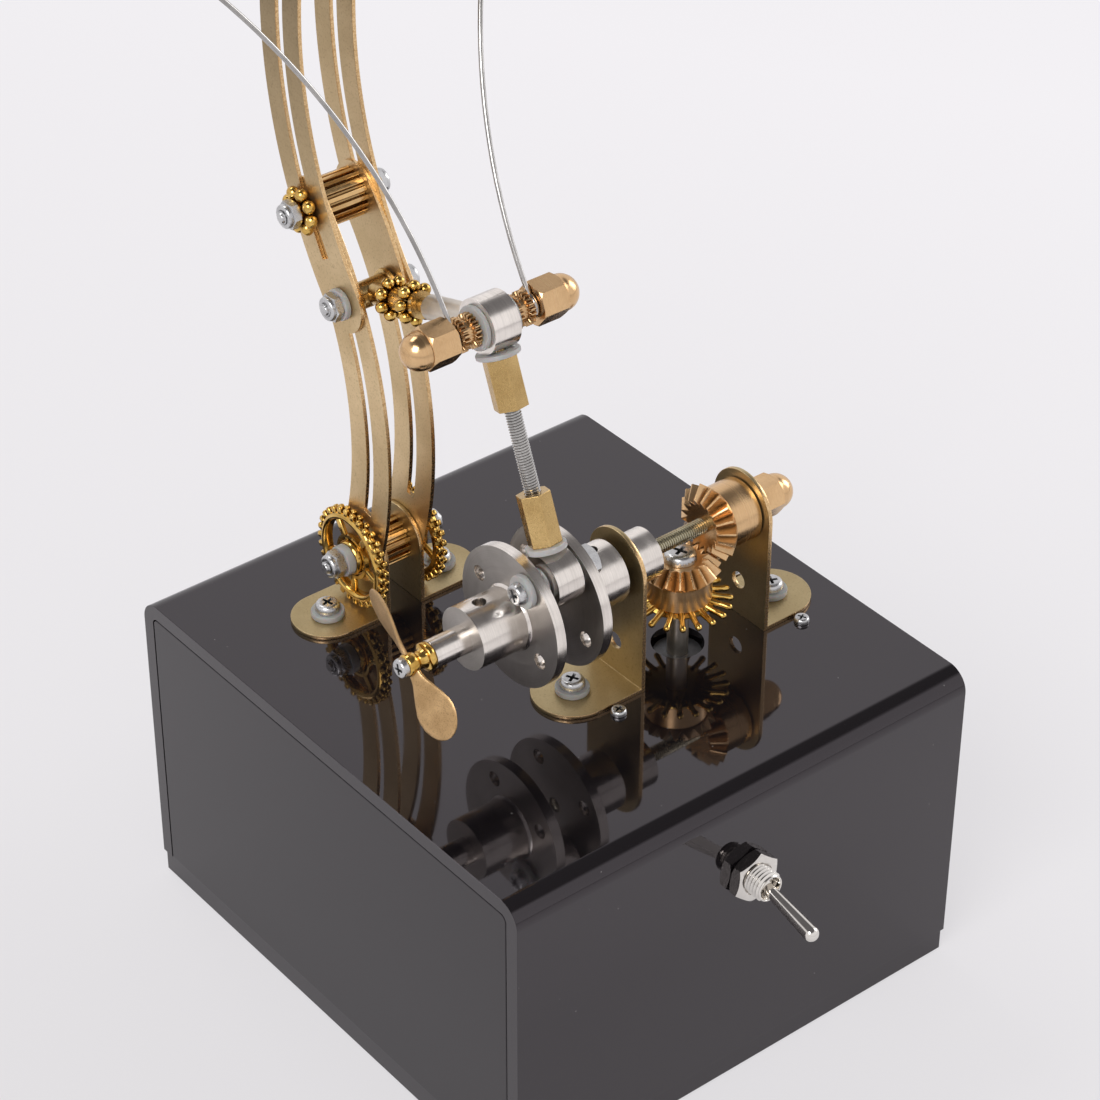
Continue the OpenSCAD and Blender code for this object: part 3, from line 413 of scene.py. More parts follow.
def turned_metal(name, centre, axis, light, dark, rough, depth=0.2, rougher_and_shaded_ends=0.0):
    """Lathe turned metal: fine lines round the axis in tone, gloss and relief. End faces can be rougher and
    painted darker, a painted dark reflection.
    """
    mat, g, shader = new_material(name, 1.0)
    lathe = use_group(g, TURNING, Centre=tuple(c * MM for c in centre), Axis=axis, Lines=5000.0)
    grain = use_group(g, GRAIN, Speckle_Scale=3000.0, Cloud_Scale=160.0)
    fine = g.math("MULTIPLY", lathe.outputs["Lines"], 0.4)
    broad = g.math("MULTIPLY", grain.outputs["Cloud"], 0.6)
    colour = g.blend(g.remap(g.math("ADD", fine, broad), 0.34, 0.64), dark, light)
    round_face = use_group(g, EDGE, Face_Axis=axis, Second_Axis=axis).outputs["Edge"]
    # painted reflection: end faces across the axis are blended towards near black and made rougher
    rougher_and_shaded = g.math("MULTIPLY", g.math("SUBTRACT", 1.0, round_face), rougher_and_shaded_ends)
    colour = g.blend(rougher_and_shaded, colour, (0.03, 0.028, 0.026))
    # painted shade in narrow gaps of the piece
    paint_shade_in_gaps(g, shader, colour, dark, TURNED_GAP)
    gloss = g.remap(lathe.outputs["Broad"], 0.3, 0.7, rough[0], rough[1])
    g.join(g.math("ADD", gloss, g.math("MULTIPLY", rougher_and_shaded, 0.3)), shader.inputs["Roughness"])
    bump(g, shader, lathe.outputs["Lines"], depth, 0.04 * MM)
    return mat


def polished_metal(name, light, dark, rough, speckle=2200.0, cloud=140.0, depth=0.12, relief=0.02 * MM,
                   pits=0.0, gap=CAST_GAP):
    """Cast, plated or drawn metal with soft clouding and, where pits is set, small dark pits."""
    mat, g, shader = new_material(name, 1.0)
    grain = use_group(g, GRAIN, Speckle_Scale=speckle, Cloud_Scale=cloud)
    tone = g.blend(g.remap(grain.outputs["Cloud"], 0.34, 0.66), dark, light)
    pit = g.remap(grain.outputs["Speckle"], 0.55, 0.68, 0.0, pits)
    tone = g.blend(pit, tone, tuple(0.4 * c for c in dark))
    # painted shade in narrow gaps of the piece
    paint_shade_in_gaps(g, shader, tone, dark, gap)
    g.join(g.remap(grain.outputs["Speckle"], 0.3, 0.7, rough[0], rough[1]), shader.inputs["Roughness"])
    bump(g, shader, grain.outputs["Speckle"], depth, relief)
    return mat


def milky_nylon():
    mat, g, shader = new_material("milky_nylon", 0.0, 1.52)
    grain = use_group(g, GRAIN, Speckle_Scale=1500.0, Cloud_Scale=220.0)
    cloud = g.remap(grain.outputs["Cloud"], 0.3, 0.7)
    g.join(g.blend(cloud, (0.58, 0.575, 0.56), (0.72, 0.715, 0.70)), shader.inputs["Base Color"])
    g.join(g.remap(grain.outputs["Speckle"], 0.3, 0.7, 0.28, 0.42), shader.inputs["Roughness"])
    shader.inputs["Subsurface Weight"].default_value = 0.2
    shader.inputs["Subsurface Scale"].default_value = 1.2 * MM
    shader.inputs["Transmission Weight"].default_value = 0.55
    return mat


def dull_plastic(name, light, dark):
    mat, g, shader = new_material(name, 0.0, 1.5)
    grain = use_group(g, GRAIN, Speckle_Scale=1800.0, Cloud_Scale=90.0)
    g.join(g.blend(g.remap(grain.outputs["Cloud"], 0.3, 0.7), dark, light), shader.inputs["Base Color"])
    g.join(g.remap(grain.outputs["Speckle"], 0.3, 0.7, 0.42, 0.6), shader.inputs["Roughness"])
    bump(g, shader, grain.outputs["Speckle"], 0.2, 0.05 * MM)
    return mat


X, Z = (1, 0, 0), (0, 0, 1)
NICKEL = ((0.90, 0.845, 0.79), (0.68, 0.63, 0.58))
COPPERY = ((0.76, 0.51, 0.275), (0.60, 0.38, 0.19))
# lit and shaded copies of one black acrylic: the sides' lower IOR gives them weaker reflections than the top,
# painted shade on the sides
ACRYLIC = black_acrylic("black_acrylic", 1.61)
SHADED_SIDE_ACRYLIC = black_acrylic("black_acrylic_sides_shaded", 1.49)
STRIP_TONES = ((0.71, 0.535, 0.31), (0.56, 0.41, 0.22))
LEFT_STRIP = sheet_brass("strip_brass_left", (X, X), *STRIP_TONES, top_darkening=1.0)
RIGHT_STRIP = sheet_brass("strip_brass_right", (X, X), *STRIP_TONES, top_darkening=0.5)
ANGLE = sheet_brass("angle_brass", (X, Z))
# the end faces of the shaft nickel carry a painted dark reflection
SHAFT_NICKEL = turned_metal("shaft_nickel", (0, *SHAFT), X, *NICKEL, (0.16, 0.26), depth=0.16,
                            rougher_and_shaded_ends=0.45)
PIN_NICKEL = turned_metal("big_end_nickel", (0, *PIN), X, *NICKEL, (0.15, 0.22), depth=0.1)
YOKE_NICKEL = turned_metal("yoke_nickel", (0, *YOKE), X, *NICKEL, (0.15, 0.22), depth=0.1)
SHAFT_BRASS = turned_metal("shaft_brass", (0, *SHAFT), X, *COPPERY, (0.18, 0.30))
MOTOR_BRASS = turned_metal("motor_brass", (*MOTOR, 0), Z, *COPPERY, (0.24, 0.36))
YOKE_BRASS = turned_metal("yoke_brass", (0, *YOKE), X, *COPPERY, (0.18, 0.30))
DRAWN_BRASS = polished_metal("drawn_brass", (0.65, 0.45, 0.195), (0.50, 0.33, 0.13), (0.2, 0.32), pits=0.25)
PINION_BRASS = polished_metal("pinion_brass", (0.80, 0.54, 0.26), (0.64, 0.40, 0.17), (0.14, 0.26))
SATIN_NICKEL = polished_metal("satin_nickel", (0.72, 0.66, 0.58), (0.60, 0.55, 0.48), (0.34, 0.46))
BLASTED_BRASS = polished_metal("blasted_brass", (0.62, 0.41, 0.205), (0.47, 0.30, 0.14), (0.34, 0.5),
                               speckle=4200.0, cloud=300.0, depth=0.35, relief=0.04 * MM, pits=0.5)
GOLD = polished_metal("gold_brass", (0.76, 0.50, 0.145), (0.50, 0.29, 0.065), (0.09, 0.2), cloud=420.0)
ZINC = polished_metal("bright_zinc", (0.62, 0.62, 0.62), (0.48, 0.48, 0.485), (0.23, 0.36), cloud=380.0)
# painted shade: the gear motor, seen through the hole in the box top, is coloured near black to stand for the
# shade inside the hole
HOLE_SHADE_STEEL = polished_metal("motor_steel", (0.17, 0.17, 0.175), (0.10, 0.10, 0.105), (0.4, 0.6))
CHROME = polished_metal("bright_chrome", (0.80, 0.77, 0.725), (0.68, 0.65, 0.61), (0.06, 0.15), depth=0.04)
ROD_STEEL = polished_metal("rod_steel", (0.62, 0.605, 0.585), (0.45, 0.44, 0.425), (0.14, 0.26),
                           gap=THREAD_GAP)
ROD_OLIVE = polished_metal("rod_olive_zinc", (0.66, 0.61, 0.46), (0.50, 0.46, 0.34), (0.2, 0.32),
                           gap=THREAD_GAP)
WIRE = polished_metal("spring_wire", (0.47, 0.455, 0.44), (0.33, 0.32, 0.31), (0.10, 0.2), depth=0.05)
NYLON = milky_nylon()
DARK_PLASTIC = dull_plastic("dark_plastic", (0.035, 0.035, 0.04), (0.02, 0.02, 0.024))
CELL_WRAP = dull_plastic("cell_wrap", (0.09, 0.13, 0.10), (0.06, 0.09, 0.07))

PAINT = {
    ACRYLIC: "base_plate hood",
    SHADED_SIDE_ACRYLIC: "side_panel_left side_panel_right",
    LEFT_STRIP: "mast_lower_left mast_upper_left",
    RIGHT_STRIP: "mast_lower_right mast_upper_right",
    ANGLE: "bracket_inner bracket_outer mast_bracket_left mast_bracket_right",
    SHAFT_NICKEL: "flange_left flange_right stub_shaft crank_collar",
    PIN_NICKEL: "big_end_collar",
    YOKE_NICKEL: "yoke_collar yoke_pin",
    SHAFT_BRASS: "crank_bevel_gear crank_end_spacer crank_dome_nut propeller",
    MOTOR_BRASS: "motor_bevel_gear",
    YOKE_BRASS: "yoke_dome_nuts knurled_nuts",
    DRAWN_BRASS: "link_standoffs guide_arm",
    PINION_BRASS: "mast_base_pinion mast_joint_pinion",
    GOLD: "wheel_left wheel_right mast_bead_rings crown_wheel",
    ZINC: "base_screws motor_screws foot_screws foot_nuts mast_pivot_bolt mast_joint_bolt mast_lap_bolts "
          "crank_pin propeller_screw motor_gear_screw",
    SATIN_NICKEL: "motor_shaft",
    HOLE_SHADE_STEEL: "gear_motor",
    CHROME: "toggle_nut toggle_lever toggle_body",
    ROD_STEEL: "link_rod",
    ROD_OLIVE: "crank_shaft",
    WIRE: "push_wires",
    NYLON: "foot_washers mast_pivot_washers mast_lap_washers crank_washers link_washers",
    DARK_PLASTIC: "corner_blocks battery_holder",
    CELL_WRAP: "battery_cells",
}
for paint, names in PAINT.items():
    for name in names.split():
        nodes[name].data.materials.clear()
        nodes[name].data.materials.append(paint)


# forms of the small parts, in millimetres

class Form:
    """A mesh under construction, in millimetres, usually about its own Z axis."""

    def __init__(self):
        self.bm = bmesh.new()

    def line(self, points, closed=False):
        verts = [self.bm.verts.new(p) for p in points]
        ends = verts[1:] + verts[:1] if closed else verts[1:]
        return verts, [self.bm.edges.new(pair) for pair in zip(verts, ends)]

    def turned(self, profile, steps, closed=False):
        """Spins (radius, height) points round Z."""
        verts, edges = self.line([(r, 0, h) for r, h in profile], closed)
        bmesh.ops.spin(self.bm, geom=verts + edges, cent=(0, 0, 0), axis=(0, 0, 1), dvec=(0, 0, 0),
                       angle=math.tau, steps=steps, use_merge=True)
        return self

    def threaded(self, radius, pitch, length):
        """Screw thread from height 0 to length on a core with chamfered ends."""
        root, tip, steps = radius - 0.55 * pitch, 0.3, 20
        core, point = root + 0.03, root - 0.16
        once = Form()
        verts, edges = once.line([(root, 0, -pitch), (root, 0, -0.85 * pitch), (radius, 0, -0.56 * pitch),
                                  (radius, 0, -0.44 * pitch), (root, 0, -0.15 * pitch), (root, 0, 0)])
        bmesh.ops.spin(once.bm, geom=verts + edges, cent=(0, 0, 0), axis=(0, 0, 1),
                       dvec=(0, 0, pitch / steps), angle=math.tau, steps=steps)
        self.add(once, *[shift(0, 0, pitch * k) for k in range(int(length / pitch) + 2)])
        bmesh.ops.remove_doubles(self.bm, verts=self.bm.verts, dist=0.002)
        self.cut(tip, -1)
        self.cut(length - tip, 1)
        bar = Form().turned([(0, 0), (point, 0), (core, tip), (core, length - tip), (point, length),
                             (0, length)], 2 * steps)
        return self.add(bar, Matrix())

    def cut(self, height, side):
        """Takes away what lies above (side 1) or below (side -1) a height, and closes the cut."""
        geom = list(self.bm.verts) + list(self.bm.edges) + list(self.bm.faces)
        bmesh.ops.bisect_plane(self.bm, geom=geom, dist=1e-5, plane_co=(0, 0, height), plane_no=(0, 0, side),
                               clear_outer=True)
        rim = [e for e in self.bm.edges
               if e.is_boundary and all(abs(v.co.z - height) < 1e-3 for v in e.verts)]
        bmesh.ops.holes_fill(self.bm, edges=rim, sides=0)

    def loft(self, rings, ends=True):
        """Joins closed rings of points one after the other."""
        loops = [self.line(ring, True)[1] for ring in rings]
        for lower, upper in zip(loops, loops[1:]):
            bmesh.ops.bridge_loops(self.bm, edges=lower + upper)
        if ends:
            bmesh.ops.edgeloop_fill(self.bm, edges=loops[0])
            bmesh.ops.edgeloop_fill(self.bm, edges=loops[-1])
        return self

    def block(self, size, centre, soft):
        """Box with softened edges."""
        made = bmesh.ops.create_cube(self.bm, size=1.0)["verts"]
        bmesh.ops.scale(self.bm, vec=size, verts=made)
        bmesh.ops.translate(self.bm, vec=centre, verts=made)
        edges = list({e for v in made for e in v.link_edges})
        bmesh.ops.bevel(self.bm, geom=edges, offset=soft, offset_type="OFFSET", affect="EDGES",
                        segments=2, profile=0.5, material=-1)
        return self

    def ball(self, radius, around, rows):
        bmesh.ops.create_uvsphere(self.bm, u_segments=around, v_segments=rows, radius=radius)
        return self

    def tint(self, index):
        """Gives every face the paint with this number."""
        for face in self.bm.faces:
            face.material_index = index
        return self

    def add(self, other, *places):
        """Copies another form to each place."""
        mesh = bpy.data.meshes.new("scratch_form")
        other.bm.to_mesh(mesh)
        for place in places:
            first = len(self.bm.verts)
            self.bm.from_mesh(mesh)
            self.bm.verts.ensure_lookup_table()
            bmesh.ops.transform(self.bm, matrix=place, verts=self.bm.verts[first:])
        bpy.data.meshes.remove(mesh)
        return self


def circle(radius, height, count=24, squash=1.0):
    angles = [math.tau * i / count for i in range(count)]
    return [(radius * math.cos(a), squash * radius * math.sin(a), height) for a in angles]


def shift(x, y, z):
    return Matrix.Translation((x, y, z))


def turn(degrees, axis="Z"):
    return Matrix.Rotation(math.radians(degrees), 4, axis)


def along_x(x, spot, way=1):
    """Own Z becomes +X (way 1) or -X (way -1) at a point of the Y-Z plane."""
    return shift(x, *spot) @ turn(90 * way, "Y")


def both_sides(place):
    mirror = shift(2 * LINK_X, 0, 0) @ Matrix.Scale(-1, 4, (1, 0, 0))
    return place, mirror @ place


def round_spots(count, radius):
    return [turn(360 * i / count) @ shift(radius, 0, 0) for i in range(count)]


def shade(bm, sharp):
    for face in bm.faces:
        face.smooth = True
    for edge in bm.edges:
        edge.smooth = len(edge.link_faces) != 2 or edge.calc_face_angle(0.0) < math.radians(sharp)


def place_mesh(bm, name, paints, replaced):
    mesh = bpy.data.meshes.new(name)
    bm.to_mesh(mesh)
    bm.free()
    for paint in paints:
        mesh.materials.append(paint)
    obj = bpy.data.objects.new(name, mesh)
    bpy.context.scene.collection.objects.link(obj)
    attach(obj, BODY_OF[replaced[0]])
    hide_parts(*replaced)
    return obj


def piece(form, name, paints, *replaced, sharp=40):
    """Makes a form a finished piece that stands for CAD nodes."""
    bm = form.bm
    bmesh.ops.remove_doubles(bm, verts=bm.verts, dist=1e-4)
    bmesh.ops.recalc_face_normals(bm, faces=bm.faces)
    bmesh.ops.scale(bm, vec=(MM, MM, MM), verts=bm.verts)
    shade(bm, sharp)
    place_mesh(bm, name, paints, replaced)


def softened(node, paint, width):
    """A copy of a CAD node whose sharp edges are broken by a small round."""
    bm = bmesh.new()
    bm.from_mesh(nodes[node].data)
    for face in bm.faces:
        face.material_index = 0
    flat, sharp = math.radians(0.8), math.radians(38)
    bmesh.ops.remove_doubles(bm, verts=bm.verts, dist=2e-6)
    bmesh.ops.dissolve_limit(bm, angle_limit=flat, verts=bm.verts, edges=bm.edges)
    edges = [e for e in bm.edges if len(e.link_faces) == 2 and e.calc_face_angle(0.0) > sharp]
    bmesh.ops.bevel(bm, geom=edges, offset=width * MM, offset_type="OFFSET", affect="EDGES",
                    segments=2, profile=0.5, clamp_overlap=True, material=-1)
    shade(bm, 33)
    obj = place_mesh(bm, node + "_finished", [paint], [node])
    even = obj.modifiers.new("even_normals", "WEIGHTED_NORMAL")
    even.keep_sharp = True


def plain_pin(radius, low, high, steps):
    """Round pin between two heights."""
    return Form().turned([(0, low), (radius, low), (radius, high), (0, high)], steps)


def cross_head(width, height, cross):
    """Low round screw head with a cross recess, sitting on height 0."""
    half, rim, edge = width / 2, cross * 1.12, 0.12
    curve = [(0.0, 0.0), (half - 0.1, 0.0), (half, edge)]
    for i in range(1, 9):
        a = math.radians(11 * i)
        curve.append((rim + (half - rim) * math.cos(a) ** 0.7, edge + (height - edge) * math.sin(a) ** 0.8))
    curve.append((rim, height))
    form = Form().turned(curve, 32)
    bmesh.ops.remove_doubles(form.bm, verts=form.bm.verts, dist=1e-4)
    ring = [e for e in form.bm.edges if e.is_boundary]
    w = cross * 0.24
    outline = [(cross, -w), (cross, w), (w, w), (w, cross), (-w, cross), (-w, w),
               (-cross, w), (-cross, -w), (-w, -w), (-w, -cross), (w, -cross), (w, -w)]
    top = form.line([(x, y, height) for x, y in outline], True)[1]
    bmesh.ops.triangle_fill(form.bm, use_beauty=True, edges=ring + top, normal=(0, 0, 1))
    floor = form.line([(x * 0.6, y * 0.6, height * 0.3) for x, y in outline], True)[1]
    bmesh.ops.bridge_loops(form.bm, edges=top + floor)
    bmesh.ops.edgeloop_fill(form.bm, edges=floor)
    return form


def hex_nut(flats, height, bore, chamfer=0.16):
    """Hexagon with cone chamfers at both ends and a bore."""
    rows = [[], [], [], []]
    rim = flats / 2 * 0.96
    for i in range(48):
        a = math.tau * i / 48
        r = flats / 2 / math.cos((a + math.pi / 6) % (math.pi / 3) - math.pi / 6)
        drop = (r - rim) * 0.58
        c, s = math.cos(a), math.sin(a)
        rows[0].append((rim * c, rim * s, 0))
        rows[1].append((r * c, r * s, drop))
        rows[2].append((r * c, r * s, height - drop))
        rows[3].append((rim * c, rim * s, height))
    inner = [circle(bore + chamfer, height, 48), circle(bore, height - chamfer, 48), circle(bore, 0, 48)]
    return Form().loft(rows + inner + [rows[0]], ends=False)


def lock_nut(flats, height, bore):
    """Hexagon with a round collar on its outer end."""
    form = hex_nut(flats, 0.66 * height, bore)
    collar = 0.47 * flats
    return form.turned([(bore, 0.6 * height), (collar, 0.6 * height), (collar, 0.84 * height),
                        (collar - 0.12, 0.94 * height), (collar - 0.4, height), (bore + 0.35, height),
                        (bore, height - 0.25)], 48, closed=True)


# finished pieces in place of the plain solids

# SEAT is the air under a head or nut, SINK how far a shank reaches into its head
SEAT, SINK = 0.02, 0.1
# radius and pitch
ROD_THREAD, BOLT_THREAD = (1.5, 0.5), (1.25, 0.45)
NUT_FLATS, NUT_BORE = 4.8, 1.15
FLANGE_THICK = 2.0
HOOD_WALL = 3.0
BEAD_WIDTH = 2.334
# ends of the propeller boss along the shaft, from the middle of the blades
BOSS_FRONT, BOSS_BACK = -1.2, 4.08
PROP_X = span("propeller")[1].x - BOSS_BACK


def on_rod(t):
    return shift(LINK_X, *PIN) @ Matrix.Rotation(-ROD_LEAN, 4, "X") @ shift(0, 0, t)


def on_arm(t):
    return shift(LINK_X, *YOKE) @ turn(-90 - math.degrees(ARM_DROP), "X") @ shift(0, 0, t)


def make_softened():
    """Nodes whose own shape is right: only their edges are broken."""
    table = (
        (ACRYLIC, 0.30, "hood base_plate"),
        (SHADED_SIDE_ACRYLIC, 0.30, "side_panel_left side_panel_right"),
        (LEFT_STRIP, 0.12, "mast_lower_left mast_upper_left"),
        (RIGHT_STRIP, 0.12, "mast_lower_right mast_upper_right"),
        (ANGLE, 0.14, "bracket_inner bracket_outer mast_bracket_left mast_bracket_right"),
        (SHAFT_NICKEL, 0.13, "flange_left flange_right stub_shaft"),
        (SHAFT_NICKEL, 0.40, "crank_collar"),
        (PIN_NICKEL, 0.45, "big_end_collar"),
        (YOKE_NICKEL, 0.45, "yoke_collar"),
        (SHAFT_BRASS, 0.10, "crank_bevel_gear"),
        (MOTOR_BRASS, 0.10, "motor_bevel_gear"),
        (SHAFT_BRASS, 0.13, "crank_end_spacer crank_dome_nut"),
        (YOKE_BRASS, 0.13, "yoke_dome_nuts"),
        (DRAWN_BRASS, 0.14, "link_standoffs"),
        (PINION_BRASS, 0.14, "mast_base_pinion mast_joint_pinion"),
        (NYLON, 0.25, "foot_washers mast_pivot_washers mast_lap_washers crank_washers link_washers"),
    )
    for paint, width, names in table:
        for name in names.split():
            softened(name, paint, width)


def make_link_rod():
    low, high = span("link_rod")
    tilted_end = 2 * ROD_THREAD[0] * math.sin(ROD_LEAN)
    length = (high.z - low.z - tilted_end) / math.cos(ROD_LEAN)
    start = (middle("link_rod").yz - PIN).length - length / 2
    rod = Form().add(Form().threaded(*ROD_THREAD, length), on_rod(start))
    piece(rod, "threaded_link_rod", [ROD_STEEL], "link_rod", sharp=60)


def make_crank_shaft():
    low, high = span("crank_shaft")
    shaft = Form().add(Form().threaded(*ROD_THREAD, high.x - low.x), along_x(low.x, SHAFT))
    piece(shaft, "threaded_crank_shaft", [ROD_OLIVE], "crank_shaft", sharp=60)


def make_foot_screws():
    """One screw per bracket foot, each head turned another way."""
    bottom, seat = span("foot_screws")[0].z, span("foot_washers")[1].z
    shank = plain_pin(1.25, bottom, seat + SINK, 24)
    head = cross_head(4.8, 1.7, 1.25)
    form = Form()
    for k, (x, y) in enumerate(FEET):
        form.add(shank, shift(x, y, 0))
        form.add(head, shift(x, y, seat) @ turn(28 + 37 * k))
    piece(form, "bracket_foot_screws", [ZINC], "foot_screws")


def make_motor_screws():
    """Four small screws in the box top, each head turned another way."""
    width = 3.0
    low, high = span("motor_screws")
    shank = plain_pin(1.0, low.z, TOP_Z + 2 * SINK, 20)
    head = cross_head(width, 1.1, 0.85)
    xs, ys = (low.x + width / 2, high.x - width / 2), (low.y + width / 2, high.y - width / 2)
    form = Form()
    for k, (x, y) in enumerate([(x, y) for x in xs for y in ys]):
        form.add(shank, shift(x, y, 0))
        form.add(head, shift(x, y, TOP_Z) @ turn(15 + 50 * k))
    piece(form, "motor_fixing_screws", [ZINC], "motor_screws")


def make_gear_screw():
    height = 1.8
    low, high = span("motor_gear_screw")
    seat = high.z - height
    form = Form().add(cross_head(6.2, height, 1.45), shift(*MOTOR, seat) @ turn(20))
    form.add(plain_pin(1.0, low.z, seat - SEAT + SINK, 20), shift(*MOTOR, 0))
    piece(form, "motor_gear_clamp_screw", [ZINC], "motor_gear_screw")


def make_crank_pin():
    seat, end = span("crank_washers")[0].x, span("crank_pin")[1].x
    start = seat - 2 * SINK
    nut_seat = span("flange_right")[0].x + FLANGE_THICK + SEAT
    form = Form().add(cross_head(4.2, 1.65, 1.2), along_x(seat - SEAT, PIN, -1) @ turn(25))
    form.add(Form().threaded(*ROD_THREAD, end - start), along_x(start, PIN))
    form.add(hex_nut(5.4, 2.38, 1.42), along_x(nut_seat, PIN))
    piece(form, "crank_pin_screw", [ZINC], "crank_pin")


def make_propeller_screw():
    seat, end = PROP_X + BOSS_FRONT, span("propeller_screw")[1].x
    start = seat - 2 * SINK
    form = Form().add(cross_head(3.7, 1.35, 1.15), along_x(seat - SEAT, SHAFT, -1) @ turn(10))
    form.add(plain_pin(1.0, 0, end - start, 20), along_x(start, SHAFT))
    piece(form, "propeller_clamp_screw", [ZINC], "propeller_screw")


def make_mast_bolts():
    """Long bolts with a lock nut at each end, against the piece that lies beside the nut."""
    for name, spot, height, node, beside in (
            ("mast_base_bolt", PIVOT, 2.88, "mast_pivot_bolt", "mast_pivot_washers"),
            ("mast_joint_bolt_and_nuts", JOINT, 2.6, "mast_joint_bolt", "mast_bead_rings")):
        low, high = span(node)
        nut_seat = span(beside)[1].x + SEAT
        form = Form().add(Form().threaded(*BOLT_THREAD, high.x - low.x), along_x(low.x, spot))
        form.add(lock_nut(NUT_FLATS, height, NUT_BORE), *both_sides(along_x(nut_seat, spot)))
        piece(form, name, [ZINC], node)


def make_lap_bolts():
    start, end = span("mast_lower_right")[0].x, span("mast_lap_bolts")[1].x
    nut_seat = span("mast_lap_washers")[1].x + SEAT
    form = Form().add(Form().threaded(*BOLT_THREAD, end - start), *both_sides(along_x(start, LAP)))
    form.add(lock_nut(NUT_FLATS, 2.36, NUT_BORE), *both_sides(along_x(nut_seat, LAP)))
    piece(form, "mast_lap_bolts_and_nuts", [ZINC], "mast_lap_bolts")


def make_wheels():
    """Beaded wheels: two rows of blunt teeth, plain rim ring, dished web with spokes and a ball ring."""
    rim = Form().turned([(8.9, 0.55), (9.15, 0.9), (9.15, 2.0), (8.9, 2.3), (8.5, 2.62), (8.05, 2.62),
                         (7.7, 2.3), (7.6, 1.2), (7.7, 0.6), (8.1, 0.5)], 72, closed=True)
    tooth = Form().block((1.5, 1.15, 0.98), (0.1, 0, 0), 0.32)
    spoke = Form().block((4.9, 1.5, 0.9), (5.5, 0, 1.35), 0.3)
    hub = Form().turned([(1.28, 0.02), (3.4, 0.02), (3.4, 2.3), (3.1, 2.68), (2.75, 2.68), (2.6, 2.3),
                         (1.9, 2.2), (1.28, 2.2)], 48, closed=True)
    ball = Form().ball(0.36, 12, 8)
    lip = Form().turned([(3.9, 1.0), (4.5, 1.0), (4.5, 1.9), (3.9, 1.9)], 48, closed=True)
    wheel = Form().add(rim, Matrix())
    for row, height in enumerate((0.92, 1.92)):
        wheel.add(tooth, *[turn(6 * row) @ spot @ shift(0, 0, height) for spot in round_spots(30, 9.32)])
    wheel.add(spoke, *[turn(72 * i) for i in range(5)])
    wheel.add(hub, Matrix())
    wheel.add(ball, *[spot @ shift(0, 0, 2.4) for spot in round_spots(14, 2.25)])
    wheel.add(lip, Matrix())
    right, left = both_sides(along_x(span("wheel_right")[0].x, PIVOT))
    piece(Form().add(wheel, right), "beaded_wheel_right", [GOLD], "wheel_right", sharp=50)
    piece(Form().add(wheel, left), "beaded_wheel_left", [GOLD], "wheel_left", sharp=50)


def bead_ring(bore, ball=1.167, ring=3.05):
    """Sleeve with a ring of balls round it."""
    form = Form().turned([(bore, 0), (2.2, 0), (2.2, BEAD_WIDTH), (bore, BEAD_WIDTH)], 40, closed=True)
    flat = Matrix.Scale(BEAD_WIDTH / 2 / ball, 4, (0, 0, 1))
    return form.add(Form().ball(ball, 24, 16),
                    *[spot @ shift(0, 0, BEAD_WIDTH / 2) @ flat for spot in round_spots(8, ring)])


def make_mast_beads():
    seat = span("mast_upper_right")[1].x + SEAT
    rings = Form().add(bead_ring(1.28, 1.29, 3.36), *both_sides(along_x(seat, JOINT) @ turn(10)))
    piece(rings, "mast_ball_rings", [GOLD], "mast_bead_rings")


def make_guide_arm():
    """Rod with a sleeve at the yoke, collars and ball rings, and a cross roller at the mast lap."""
    rod = plain_pin(1.25, 3, ARM_LEN - 1, 24)
    sleeve = Form().turned([(0, 5.12), (2.05, 5.12), (2.3, 5.4), (2.3, 17.4), (2.05, 17.72), (0, 17.72)], 40)
    arm = Form().add(rod, on_arm(0)).add(sleeve.tint(2), on_arm(0))
    for radius, start, end in ((2.5, 16.4, 15.4), (2.2, 13.2, 9.0), (2.0, 6.8, 1.8)):
        arm.add(plain_pin(radius, ARM_LEN - start, ARM_LEN - end, 40), on_arm(0))
    roller = Form().turned([(0, -4.15), (3.1, -4.15), (3.3, -3.95), (3.3, -3.3), (3.1, -3.1), (2.5, -3.1),
                            (2.5, 3.1), (3.1, 3.1), (3.3, 3.3), (3.3, 3.95), (3.1, 4.15), (0, 4.15)], 40)
    arm.add(roller, along_x(LINK_X, LAP))
    arm.add(bead_ring(1.0).tint(1), on_arm(ARM_LEN - 15.4) @ turn(10), on_arm(ARM_LEN - 9.0) @ turn(32))
    piece(arm, "guide_arm_with_ball_rings", [DRAWN_BRASS, GOLD, SATIN_NICKEL], "guide_arm")


def ribbed_band(low, high, ribs=22, outer=3.2, inner=2.62, chamfer=0.16):
    """Band of straight ribs round Z, four points to a rib, drawn in at both ends."""
    rows = []
    for part, height in ((0.90, low), (1.0, low + chamfer), (1.0, high - chamfer), (0.90, high)):
        row = []
        for i in range(4 * ribs):
            r, a = part * (outer if i % 4 < 2 else inner), math.tau * i / (4 * ribs)
            row.append((r * math.cos(a), r * math.sin(a), height))
        rows.append(row)
    return Form().loft(rows)


def make_knurled_nuts():
    """Two ribbed bands on a plain sleeve."""
    length = 3.96
    nut = Form().turned([(1.51, 0.0), (2.35, 0.0), (2.35, length), (1.51, length)], 48, closed=True)
    nut.add(ribbed_band(0.02, 1.44), Matrix()).add(ribbed_band(2.56, 3.94), Matrix())
    pair = Form().add(nut, *both_sides(along_x(span("knurled_nuts")[1].x - length, YOKE)))
    piece(pair, "knurled_yoke_nuts", [YOKE_BRASS], "knurled_nuts", sharp=30)


